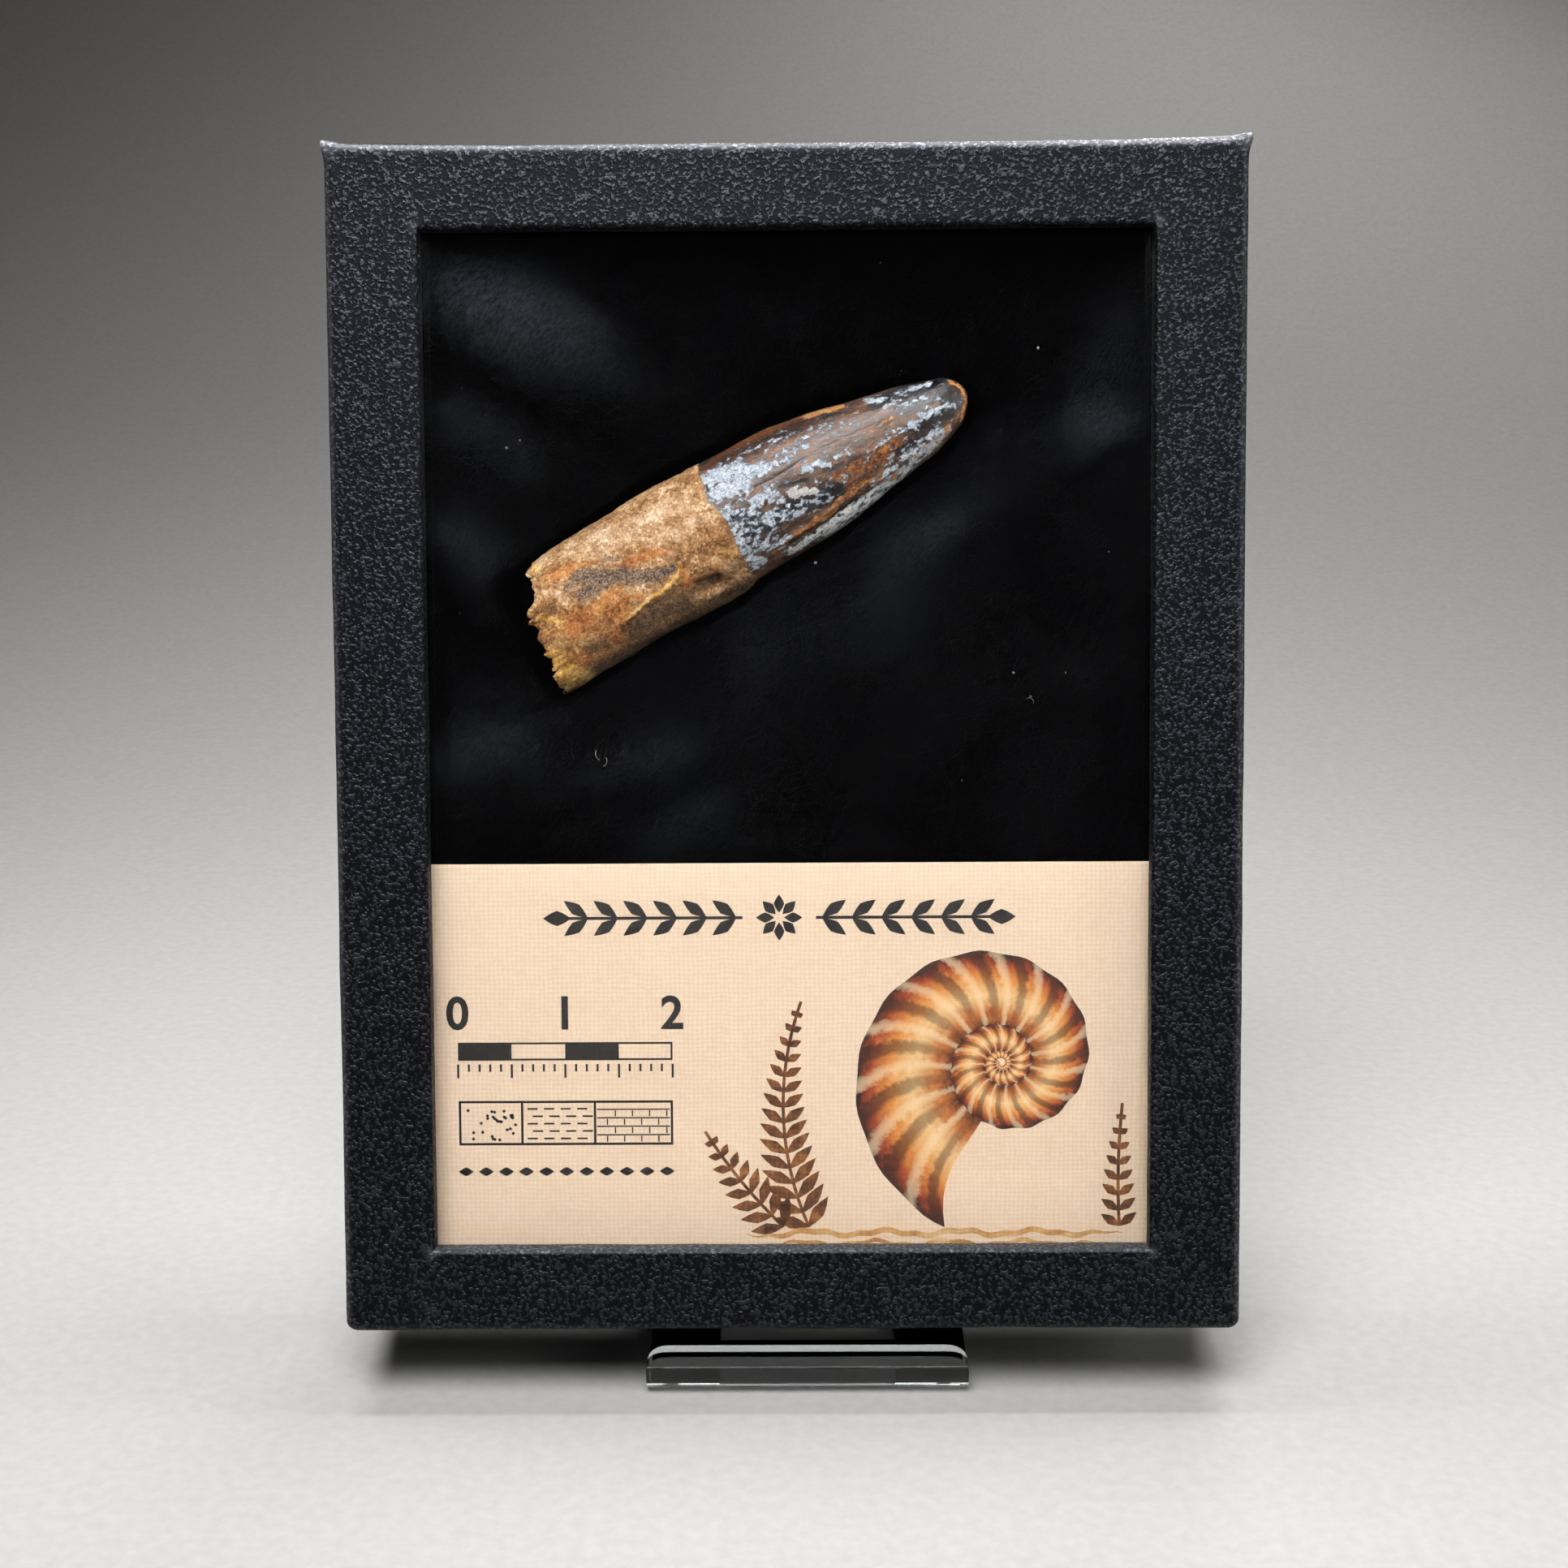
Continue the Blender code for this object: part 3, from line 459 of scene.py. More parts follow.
def tooth_surface(ring, turn):
    """A point of the tooth along its axis, into the box and across, with its paint."""
    body_rings = TOOTH_RINGS - BASE_RINGS - TIP_RINGS
    share = 1.0
    if ring < BASE_RINGS:
        s, share = 0.0, ring / BASE_RINGS
    elif ring <= BASE_RINGS + body_rings:
        s = TOOTH_SHAFT * (ring - BASE_RINGS) / body_rings
    else:
        lift = (ring - BASE_RINGS - body_rings) / TIP_RINGS * math.pi / 2
        s, share = TOOTH_SHAFT, math.cos(lift)
    cap = TIP_CAP * math.sqrt(max(0.0, 1 - share**2)) if s >= TOOTH_SHAFT else 0.0
    upper, lower = curve_through(UPPER_EDGE, s), curve_through(LOWER_EDGE, s)
    half_width, half_depth = (upper - lower) / 2, tooth_half_depth(s)
    side, facing = math.cos(turn), math.sin(turn)
    n = (upper + lower) / 2 + share * half_width * side
    place = Vector((s + cap, share * half_depth * facing, share * half_width * side))
    mark_n = n if facing > -0.2 else -n
    at_s = s + cap

    coarse = noise.noise(place * 0.42)
    medium = noise.noise(place * 1.25 + Vector((9, 0, 0)))
    small = noise.noise(place * 3.1 + Vector((0, 5, 0)))
    wander = 0.45 * medium + 0.22 * small
    crown = step_up(at_s - curve_through(CROWN_EDGE, n) + 0.45 * wander, -0.1, 0.1)
    front = step_up(facing, 0.0, 0.25)

    grains = 0.09 * max(0.0, 0.6 - cell(place * 2.4)) + 0.06 * max(0.0, 0.6 - cell(place * 4.6))
    ws, wn = at_s + 0.25 * medium + 0.12 * small, mark_n + 0.2 * small
    pit = stroke(at_s + 0.1 * small, mark_n, PIT)
    pit_rim = stroke(at_s + 0.15 * medium, mark_n + 0.1 * small, PIT_RIM)
    nodule = stroke(at_s, mark_n, NODULE)
    slate = stroke(ws, wn, SLATE)
    ochre = stroke(ws, wn, OCHRE_RIDGE)
    dark_and_shaded = stroke(ws, wn, ROOT_DARK_AND_PAINTED_SHADE)
    leaf = math.floor((n - 0.12 * share * half_depth * facing) * 2.8 + 0.5 * medium) / 2.8
    comb = 0.6 * noise.noise(Vector((leaf * 3.3, -0.35 * share * half_depth * facing, 3.0)))
    comb *= 1.0 if n < 1.5 else 0.45
    # Crevices between the leaves of the broken base are sunk into the mesh and painted dark,
    # painted shade in them.
    crevice = step_up(comb, 0.0, 0.2) * (1 - step_up(s, 0.3, 2.3))
    root = (0.1 * coarse + 0.07 * medium + 0.035 * small
            + grains * (0.9 - 0.6 * min(1.0, dark_and_shaded)) + 0.26 * ochre - 0.07 * slate
            - 0.95 * pit * front + 0.14 * pit_rim + 0.24 * nodule - 0.3 * crevice
            - 0.12 * stroke(ws, wn, HOLLOW))

    crust = stroke(ws, wn, CRUST) * crown
    dark = stroke(ws, wn, CROWN_DARK)
    crack = stroke(at_s, mark_n + 0.1 * small, CRACK)
    lens_bump = stroke(at_s + 0.15 * small, mark_n + 0.12 * medium, PALE_LENS)
    keel = stroke(at_s, mark_n + 0.3 * medium + 0.14 * small, KEEL)
    rim = stroke(ws, mark_n + 0.2 * medium, PALE_RIM)
    tan = stroke(at_s + 0.2 * small, mark_n + 0.16 * medium, TAN_SPOTS)
    flutes = 0.005 * math.sin(turn * 30 + 0.6 * coarse) * bump(at_s - 31, 9)
    groove = stroke(at_s, mark_n, GROOVE)
    chips = max(0.0, 0.42 - cell(place * 1.7)) * rim
    enamel = (0.05 * coarse + 0.012 * medium + flutes + 0.05 * min(1.0, crust)
              + 0.03 * small * min(1.0, crust + rim) - 0.05 * crack + 0.1 * lens_bump
              + 0.16 * keel - 0.14 * groove + 0.1 * rim - 0.25 * chips
              - 0.3 * bump(at_s - 43.6, 1.1) * bump(n - 0.5, 2.2))
    height = (1 - crown) * root + crown * (enamel - 0.06)
    if share < 1 and s < 1:
        height *= share
    half_width, half_depth = share * half_width + height, share * half_depth + height
    across = (upper + lower) / 2 + half_width * side
    into = -half_depth * facing

    along = at_s - 0.28 * cap * step_up(0.8 - across, 0.0, 2.6)
    broken = curve_through(BROKEN_BASE, across)
    if s < 3.0:
        lumps = 0.28 * noise.noise(Vector((across * 0.8, into * 0.6, 3.0))) + 0.12 * medium
        hollow = 0.8 * (1 - share) if ring < BASE_RINGS else 0.0
        crumbs = 0.2 * max(0.0, 0.6 - cell(Vector((across, into, 7.0)) * 2.2))
        along += (broken + comb + lumps + hollow - crumbs) * (1 - step_up(s, 0.0, 2.2))
    paint = {
        "crown_paint": (crust, max(dark, crack), stroke(ws, wn, RUST)),
        "edge_paint": (crown, tan, max(rim, lens_bump)),
        # First root paint: its dark marks, with painted shade on the lower flank, in the pit and in
        # the crevices.
        "root_paint": (max(dark_and_shaded, 1.15 * pit, crevice), stroke(ws, wn, ROOT_ORANGE),
                       max(stroke(ws, wn, ROOT_PALE), 0.9 * nodule, 0.8 * pit_rim)),
        "ochre_paint": (max(stroke(ws, wn, ROOT_YELLOW), ochre), slate,
                        stroke(ws, wn, ROOT_WARM)),
        "line_paint": (keel, crack, lens_bump),
    }
    return Vector((along, into, across)), paint


# Fossil: sand-cemented root, matt and granular, under a crown whose enamel is glossy, brown to
# black with blue-white mineral crust. The paint attributes say which is where, and where shade is
# painted: on the root's lower flank, in its pit and crevices, and under the crown's keel.
PAINTS = {"crown_paint": ("crust", "dark", "rust"), "edge_paint": ("crown", "tan", "rim"),
          "root_paint": ("shade", "orange", "pale"), "ochre_paint": ("ochre", "slate", "warm"),
          "line_paint": ("keel", "crack", "lens")}
fossil, tree, shader, mm = new_material("fossil tooth root and enamel")
paint = {}
for name, kinds in PAINTS.items():
    attribute = add_node(tree, "Attribute", attribute_name=name)
    paint.update(zip(kinds, add_node(tree, "SeparateColor", {"Color": attribute}).outputs))


def weighted(tree, *terms, plus=0.0, clamp=False):
    """The sum of some patterns, each times its weight, and of one more."""
    for pattern, weight in terms:
        plus = add_node(tree, "Math", {0: pattern, 1: weight, 2: plus},
                        operation="MULTIPLY_ADD", use_clamp=clamp)
    return plus


def layered(tree, ground, ground_stops, layers):
    """Colours laid over a ground, each where its paint, broken up into specks, is strong."""
    shade, cover = add_node(tree, "ValToRGB", {"Fac": ground}, ground_stops), {}
    for name, grain, reach, low, high, strength, tone, stops in layers:
        level = weighted(tree, (paint[name], 1.0), (grain, reach), plus=-0.5 * reach)
        specks = add_node(tree, "MapRange", {"Value": level, "From Min": low, "From Max": high})
        cover[name] = weighted(tree, (specks, strength))
        over = add_node(tree, "ValToRGB", {"Fac": tone}, stops)
        shade = add_node(tree, "Mix", {0: cover[name], 6: shade, 7: over},
                         data_type="RGBA").outputs[2]
    return shade, cover


# The patterns: soft clouds, grit, flakes and flecks along the tooth, streaks in the enamel,
# sand grains with a tone each, and the cracks between flakes of crust.
along_tooth = add_node(tree, "Mapping", {"Vector": mm, "Rotation": (0, TOOTH_SLOPE, 0)})
stretched = add_node(tree, "Mapping", {"Vector": along_tooth, "Scale": (0.22, 1.0, 1.0)})
short = add_node(tree, "Mapping", {"Vector": along_tooth, "Scale": (0.7, 1.0, 1.0)})
moved = add_node(tree, "Mapping", {"Vector": short, "Location": (40, 7, 3)})
cloud, grit, flake, fleck, streaks, fine_streaks = [
    add_node(tree, "TexNoise", {"Vector": vector, "Scale": scale, "Detail": detail,
                                "Roughness": roughness})
    for vector, scale, detail, roughness in (
        (mm, 0.55, 5, 0.62), (mm, 4.2, 4, 0.7), (short, 2.1, 3, 0.6), (moved, 2.9, 4, 0.72),
        (stretched, 1.5, 6, 0.66), (stretched, 5.0, 3, 0.6))]
grain = add_node(tree, "TexVoronoi", {"Vector": mm, "Scale": 3.9})
fine_grain = add_node(tree, "TexVoronoi", {"Vector": mm, "Scale": 6.5})
scales = add_node(tree, "TexVoronoi", {"Vector": mm, "Scale": 2.7, "Randomness": 1.0},
                  feature="DISTANCE_TO_EDGE")
grain_tone, fine_tone = [add_node(tree, "SeparateColor", {"Color": cells.outputs["Color"]}).outputs
                         for cells in (grain, fine_grain)]
sand = weighted(tree, (fine_tone[1], 0.24), (grain_tone[0], 0.32), (cloud, 1.3), plus=-0.4)
dark_and_shade_tone = weighted(tree, (grit, 0.6), (sand, 0.4))
slaty = weighted(tree, (grit, 0.6), (fine_tone[0], 0.4))
# Each layer: paint, grain that breaks it up and how strongly, range, strength, tone and stops.
root_colour = layered(
    tree, sand, [(0.2, "#6A4528"), (0.4, "#8E6339"), (0.56, "#AA7E51"), (0.72, "#C4A077"),
                 (0.92, "#E6CFB2")],
    [("pale", grit, 1.6, 0.3, 0.7, 1.0, sand,
      [(0.2, "#8A6444"), (0.4, "#AC825C"), (0.6, "#C6A582"), (0.88, "#EAD8C0")]),
     ("warm", grit, 1.4, 0.25, 0.75, 0.85, sand,
      [(0.2, "#46280E"), (0.4, "#744820"), (0.58, "#946430"), (0.76, "#B78A50"),
       (0.94, "#D6B684")]),
     ("orange", grit, 1.3, 0.25, 0.65, 1.0, sand,
      [(0.2, "#6E3F18"), (0.45, "#A26230"), (0.68, "#C0844A"), (0.9, "#DAAC74")]),
     # Dark layer: the flank's own brown-grey, and painted shade on the lower flank, in the pit and
     # in the crevices.
     ("shade", cloud, 0.8, 0.2, 0.88, 1.0, dark_and_shade_tone,
      [(0.36, "#26180C"), (0.5, "#533B25"), (0.64, "#826344")]),
     ("slate", grit, 3.0, 0.38, 0.7, 0.9, slaty,
      [(0.36, "#352B27"), (0.5, "#5F4F48"), (0.64, "#8E7867")]),
     ("ochre", grit, 0.8, 0.3, 0.7, 0.8, sand,
      [(0.25, "#A66E2A"), (0.55, "#D8A44F"), (0.82, "#F2D38F")])])[0]

gaps = add_node(tree, "MapRange", {"Value": weighted(tree, (grit, 0.14), plus=scales),
                                   "From Min": 0.075, "From Max": 0.13, "To Min": 0.25})
paint["flecks"], paint["haze"] = 0.5, paint["crust"]
brown = weighted(tree, (fine_streaks, 0.3), (streaks, 0.7))
rusty = weighted(tree, (fleck, 0.6), (grit, 0.4))
icy = weighted(tree, (grit, 0.5), (fleck, 0.5))
crown_colour, cover = layered(
    tree, brown, [(0.34, "#261912"), (0.45, "#4A3224"), (0.55, "#71503A"), (0.68, "#A08168")],
    [("rust", fleck, 1.6, 0.3, 0.7, 1.0, rusty,
      [(0.4, "#3A1D0C"), (0.5, "#7A4218"), (0.6, "#B87A3C")]),
     ("flecks", flake, 1.0, 0.48, 0.58, 0.6, flake, [(0.0, "#1D1411"), (1.0, "#1D1411")]),
     ("dark", fleck, 1.9, 0.42, 0.6, 1.0, grit,
      [(0.36, "#0D0B0D"), (0.58, "#231F22"), (0.72, "#4C4A50")]),
     ("crack", grit, 0.0, 0.0, 1.0, 0.8, grit, [(0.0, "#3A1E10"), (1.0, "#3A1E10")]),
     ("keel", grit, 1.4, 0.35, 0.6, 1.0, fleck,
      [(0.38, "#40220F"), (0.5, "#8A5629"), (0.64, "#C08C55")]),
     ("rim", fleck, 2.2, 0.36, 0.6, 1.0, flake,
      [(0.38, "#3C4247"), (0.45, "#98A1A6"), (0.52, "#D6DAD8"), (0.6, "#F2F2EA"),
       (0.7, "#F0E2C0")]),
     ("tan", fleck, 1.8, 0.42, 0.72, 1.0, grit,
      [(0.36, "#9A5E2A"), (0.54, "#CE9254"), (0.7, "#EACB98")]),
     ("haze", flake, 3.0, 0.3, 0.52, 0.72, fleck,
      [(0.38, "#2E343C"), (0.5, "#6A747F"), (0.64, "#A9B2BA")]),
     ("crust", flake, 2.8, 0.46, 0.72, gaps, icy,
      [(0.38, "#74849A"), (0.47, "#B0BCCA"), (0.57, "#E2E8EE"), (0.7, "#FBFBFA")]),
     ("lens", fleck, 2.0, 0.42, 0.6, 1.0, grit,
      [(0.36, "#A29D9B"), (0.52, "#C6C1BE"), (0.68, "#E0DBD6")])])
surface = add_node(tree, "Mix", {0: paint["crown"], 6: root_colour, 7: crown_colour},
                   data_type="RGBA").outputs[2]
matt = weighted(tree, (paint["crown"], -1.0), plus=1.0)
gloss = add_node(tree, "MapRange", {"Value": fine_streaks, "From Min": 0.35, "From Max": 0.65,
                                    "To Min": 0.33, "To Max": 0.48})
chalky = add_node(tree, "Math", {0: paint["tan"], 1: paint["rim"]}, operation="MAXIMUM")
chalky = add_node(tree, "Math", {0: cover["crust"], 1: chalky}, operation="MAXIMUM",
                  use_clamp=True)
gloss = add_node(tree, "Math", {0: weighted(tree, (chalky, 0.3), plus=gloss),
                                1: weighted(tree, (matt, 0.9))}, operation="MAXIMUM",
                 use_clamp=True)
sandy = weighted(tree, (matt, weighted(tree, (grain, -0.7))),
                 (grit, weighted(tree, (matt, 0.6), plus=0.1)))
height = weighted(tree, (cover["crust"], 0.45),
                  (paint["crown"], weighted(tree, (fine_streaks, 0.5))), plus=sandy)
relief = add_node(tree, "Bump", {"Height": height, "Strength": 0.8, "Distance": 0.00009})
set_inputs(tree, shader, {"Base Color": surface, "Roughness": gloss, "Normal": relief})

bm = bmesh.new()
bmesh.ops.create_uvsphere(bm, u_segments=TOOTH_TURNS, v_segments=TOOTH_RINGS, radius=1.0)
layers = {name: bm.verts.layers.float_color.new(name) for name in PAINTS}
for vert in bm.verts:
    ring = round(math.acos(max(-1.0, min(1.0, -vert.co.z))) / math.pi * TOOTH_RINGS)
    turn = math.atan2(vert.co.y, vert.co.x)
    turn -= FRONT_CROWDING * math.sin(turn - math.pi / 2)
    vert.co, painted = tooth_surface(ring, turn)
    for name, values in painted.items():
        vert[layers[name]] = (*values, 1.0)
for vert in bm.verts:
    vert.co.y += tooth_middle_depth(min(max(vert.co.x, 0.0), TOOTH_SHAFT))
on_face = (Matrix.Translation((TOOTH_ACROSS, 0, TOOTH_UP))
           @ Matrix.Rotation(-TOOTH_SLOPE, 4, "Y"))
bmesh.ops.transform(bm, matrix=on_face, verts=bm.verts)
tooth = finish_piece(bm, "fossil_tooth", fossil)
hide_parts("tooth")


# Batting: a pad of black polyester fibre that fills the tray. It is soft, presses lightly on the
# glass in low folds, dips round the tooth and goes flat under the card.
GLASS_BACK = 3.95
CARD_TOP, CARD_BOTTOM = 42.95, 3.35
CARD_FRONT, CARD_THICKNESS = 4.2, 0.35
PAD_BACK = 17.3
PAD_WIDTH, PAD_HEIGHT = INNER_WIDTH - 3.1, INNER_HEIGHT - 3.1
PAD_CELLS_ACROSS, PAD_CELLS_UP = 190, 250
PAD_NEAREST = 4.15
# Folds seen through the window: place across and up, slope in degrees, half length, half width
# and height towards the glass. The heights also set the pad's painted sheen.
FOLDS = ((-28.0, 94.2, -14, 9.0, 5.0, 1.25), (-18.5, 90.6, -24, 9.5, 3.4, 0.85),
         (-24.5, 85.6, -24, 8.0, 1.6, -0.6), (-27.5, 82.0, -14, 7.5, 3.6, 0.7),
         (-30.0, 72.2, -16, 5.5, 3.0, 0.95), (-28.0, 63.0, 8, 7.0, 2.6, -1.2),
         (-27.5, 53.5, 40, 6.0, 3.6, 0.9), (-14.0, 51.6, 34, 8.5, 3.0, 0.8),
         (-20.0, 47.5, 28, 8.0, 1.3, -0.5), (-9.5, 46.6, 46, 5.5, 2.6, 0.7),
         (5.5, 63.0, 42, 13.0, 6.0, 0.5), (13.5, 73.4, 50, 7.0, 2.8, 0.75),
         (29.5, 90.5, 82, 8.0, 3.4, 0.6), (29.0, 83.0, 24, 4.5, 2.6, 1.0),
         (6.0, 94.0, 8, 16.0, 6.0, -1.4), (-0.5, 97.4, 0, 5.0, 1.6, 0.8),
         (30.0, 62.0, 80, 14.0, 3.4, 0.35))


def place_on_tooth(across, up):
    """A place on the face as a distance along the tooth's axis and a distance off it."""
    step = Vector((across - TOOTH_ACROSS, up - TOOTH_UP))
    axis = Vector((math.cos(TOOTH_SLOPE), math.sin(TOOTH_SLOPE)))
    return step.dot(axis), axis.x * step.y - axis.y * step.x


def fold_height(across, up):
    """How far the pad's folds stand towards the glass at a place on the face."""
    total = 0.0
    for fold_u, fold_v, slope, length, width, height in FOLDS:
        angle = math.radians(slope)
        du, dv = across - fold_u, up - fold_v
        run = (du * math.cos(angle) + dv * math.sin(angle)) / length
        if abs(run) < 2.2:
            bend = 0.35 * width * math.sin(run * 2.0)
            off = (-du * math.sin(angle) + dv * math.cos(angle) + bend) / width
            if abs(off) < 2.5:
                total += height * math.exp(-run * run - off * off)
    return total


def pad_depth(across, up):
    """How far behind the lid's front the pad's surface lies at a place on the face."""
    fold = noise.noise(Vector((across / 21.0, up / 15.0, 7.3)))
    depth = GLASS_BACK + 0.8 + 1.9 * (0.5 + 0.5 * fold) - fold_height(across, up)
    along, off = place_on_tooth(across, up)
    near = min(max(along, 0.0), TOOTH_SHAFT)
    upper, lower = curve_through(UPPER_EDGE, near), curve_through(LOWER_EDGE, near)
    half_width = (upper - lower) / 2
    sideways = max(0.0, abs(off - (upper + lower) / 2) - half_width)
    endways = max(0.0, near - along, along - TOOTH_LENGTH)
    depth += 3.0 * bump(math.hypot(sideways, endways), 5.5)
    past = abs(off - (upper + lower) / 2) / (half_width + 1.0)
    beyond = max(0.0, (-along - 1.1) / 1.5, along - TOOTH_LENGTH)
    edge = (past**4 + beyond**4) ** 0.25
    if edge < 1:
        bed = (tooth_half_depth(near) + 0.6) * math.sqrt(1 - edge**2)
        rim = min(1.0, (1 - edge) / 0.2)
        depth += max(0.0, tooth_middle_depth(near) + bed + 0.35 - depth) * rim
    place = Vector((across, up, 1.7))
    depth += 0.16 * noise.noise(place * 0.6) + 0.05 * noise.noise(place * 1.1)
    under_card = min(1.0, max(0.0, (CARD_TOP + 3.5 - up) / 3.0))
    depth += (CARD_FRONT + CARD_THICKNESS + 1.3 - depth) * under_card
    return PAD_NEAREST + math.hypot(max(0.0, depth - PAD_NEAREST), 0.12)


# Polyester fibre, carded and dyed black: it drinks light. Its colour carries painted sheen, greyer
# where folds stand towards the glass, and painted shade, darkest in the hollows between them.
fibre_pad, tree, shader, mm = new_material("black polyester fibre pad")
turned = add_node(tree, "Mapping", {"Vector": mm, "Rotation": (0, math.radians(48), 0)})
combed = add_node(tree, "Mapping", {"Vector": turned, "Scale": (0.6, 1.0, 1.5)})
strands = add_node(tree, "TexNoise", {"Vector": combed, "Scale": 2.6, "Detail": 4,
                                      "Roughness": 0.7})
tufts = add_node(tree, "TexNoise", {"Vector": mm, "Scale": 0.16, "Detail": 3})
painted_fold_sheen = add_node(tree, "Attribute", attribute_name="painted_fold_sheen").outputs["Fac"]
shade = add_node(tree, "ValToRGB", {"Fac": weighted(tree, (tufts, 0.3), plus=painted_fold_sheen)},
                 [(0.15, "#010102"), (0.4, "#08080A"), (1.0, "#25272C")])
tone = add_node(tree, "MapRange", {"Value": strands, "From Min": 0.36, "From Max": 0.64,
                                   "To Min": 0.35, "To Max": 1.6})
combed_shade = add_node(tree, "Mix", {0: 1.0, 6: shade, 7: tone}, data_type="RGBA",
                        blend_type="MULTIPLY").outputs[2]
relief = add_node(tree, "Bump", {"Height": strands, "Strength": 1.0, "Distance": 0.00012})
set_inputs(tree, shader, {"Base Color": combed_shade, "Roughness": 0.95,
                          "Specular IOR Level": 0.03, "Normal": relief})

bm = bmesh.new()
bmesh.ops.create_grid(bm, x_segments=PAD_CELLS_ACROSS, y_segments=PAD_CELLS_UP, size=0.5)
pad_low = (FACE_HEIGHT - PAD_HEIGHT) / 2
painted_sheen_layer = bm.verts.layers.float.new("painted_fold_sheen")
for vert in bm.verts:
    across, up = vert.co.x * PAD_WIDTH, pad_low + (vert.co.y + 0.5) * PAD_HEIGHT
    vert.co = (across, pad_depth(across, up), up)
    drift = noise.noise(Vector((across / 9.0, up / 7.0, 2.0)))
    # Painted sheen: greater where folds stand towards the glass, none in the hollows.
    vert[painted_sheen_layer] = max(0.0, 0.08 + 0.5 * fold_height(across, up) + 0.12 * drift)
rim = bmesh.ops.extrude_edge_only(bm, edges=[e for e in bm.edges if e.is_boundary])["geom"]
for vert in verts_of(rim):
    vert.co.y = PAD_BACK
bmesh.ops.holes_fill(bm, edges=[e for e in bm.edges if e.is_boundary], sides=0)
batting = finish_piece(bm, "fibre_batting", fibre_pad, sharp=60)
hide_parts("batting")


# Loose fibres: the batting's outermost strands, curling just over its surface and mostly combed
# up to the right. They are thin closed tubes, thicker than the real 0.02 mm so that they show.
FIBRE_COUNT, FIBRE_POINTS = 5200, 5
FIBRE_THICKNESS = 0.03
fibre_hair, tree, shader, mm = new_material("black polyester fibre")
tone = add_node(tree, "TexNoise", {"Vector": mm, "Scale": 0.4, "Detail": 3})
shade = add_node(tree, "ValToRGB", {"Fac": tone}, [(0.4, "#030304"), (0.72, "#121316")])
set_inputs(tree, shader, {"Base Color": shade, "Roughness": 0.75, "Specular IOR Level": 0.12})


def strand_curve(name, radius, roundness):
    """A curve whose lines become closed tubes."""
    made = bpy.data.curves.new(name, "CURVE")
    made.dimensions = "3D"
    made.bevel_depth = radius * MM
    made.bevel_resolution = roundness
    made.use_fill_caps = True
    return made


def add_strand(curve, trail):
    """A line through places on the box."""
    spline = curve.splines.new("POLY")
    spline.points.add(len(trail) - 1)
    for point, at in zip(spline.points, trail):
        point.co = (*(BOX_PLACE @ Vector(at)), 1.0)


draw = random.Random(41)
curve = strand_curve("loose_fibres", FIBRE_THICKNESS / 2, 0)
while len(curve.splines) < FIBRE_COUNT:
    across, up = draw.uniform(-35.5, 35.5), draw.uniform(CARD_TOP + 0.4, 102.5)
    heading = math.radians(draw.gauss(48 if up < 78 or across > -8 else -12, 32))
    curl, stride = draw.gauss(0, 0.3), draw.uniform(0.25, 0.8)
    lift = draw.uniform(0.02, 0.3)
    trail = []
    for step in range(FIBRE_POINTS):
        along, off = place_on_tooth(across, up)
        near = min(max(along, 0.0), TOOTH_SHAFT)
        clear = 0.35 + lift
        on_tooth = (-1.6 < along < TOOTH_LENGTH + 0.3
                    and curve_through(LOWER_EDGE, near) - clear < off
                    < curve_through(UPPER_EDGE, near) + clear)
        if on_tooth or up < CARD_TOP + 0.3 or abs(across) > 37 or up > 103.5:
            break
        raised = lift * math.sin(math.pi * (step + 0.3) / 4.6)
        depth = max(pad_depth(across, up) - raised, GLASS_BACK + 0.12)
        trail.append((across, depth, up))
        across += stride * math.cos(heading)
        up += stride * math.sin(heading)
        heading += curl
    if len(trail) == FIBRE_POINTS:
        add_strand(curve, trail)


def as_mesh(data, name):
    """What a curve, a text or an object with modifiers shows, as a finished mesh."""
    holder = data if isinstance(data, bpy.types.Object) else set_in_scene(name, data)
    mesh = bpy.data.meshes.new_from_object(
        holder.evaluated_get(bpy.context.evaluated_depsgraph_get()))
    mesh.name = name
    bpy.data.objects.remove(holder)
    return mesh


fibres = add_piece(as_mesh(curve, "loose_fibres"), "loose_fibres", fibre_hair)


# Lint: a few pale crumbs and three short white hairs that have settled on the batting. Each crumb
# is a squashed ball a third of a millimetre across at most.
CRUMBS = ((23.1, 90.2, 0.17), (2.55, 70.7, 0.17), (-25.8, 81.3, 0.16), (22.4, 58.2, 0.14),
          (25.6, 60.4, 0.12), (20.8, 60.4, 0.11), (-24.6, 82.0, 0.09), (11.5, 86.8, 0.07),
          (8.6, 98.0, 0.08), (-30.6, 66.2, 0.08), (29.5, 71.5, 0.09), (16.0, 50.5, 0.08))
lint_look, tree, shader, mm = new_material("pale cotton lint")
tone = add_node(tree, "TexNoise", {"Vector": mm, "Scale": 6.0, "Detail": 3})
shade = add_node(tree, "ValToRGB", {"Fac": tone}, [(0.35, "#77705F"), (0.65, "#B8B2A4")])
set_inputs(tree, shader, {"Base Color": shade, "Roughness": 0.9})
bm = bmesh.new()
for across, up, size in CRUMBS:
    at = Vector((across, pad_depth(across, up) - 0.6 * size, up))
    grow = Matrix.Diagonal((size * draw.uniform(0.55, 1.05), size * 0.5,
                            size * draw.uniform(0.5, 1.0), 1.0))
    tilt = Matrix.Rotation(draw.uniform(0, math.pi), 4, "Y")
    crumb = bmesh.ops.create_icosphere(bm, subdivisions=2, radius=1.0,
                                       matrix=Matrix.Translation(at) @ tilt @ grow)["verts"]
    for vert in crumb:
        vert.co += (vert.co - at) * 0.45 * noise.noise(vert.co * 6.0)
lint = finish_piece(bm, "lint_crumbs", lint_look)

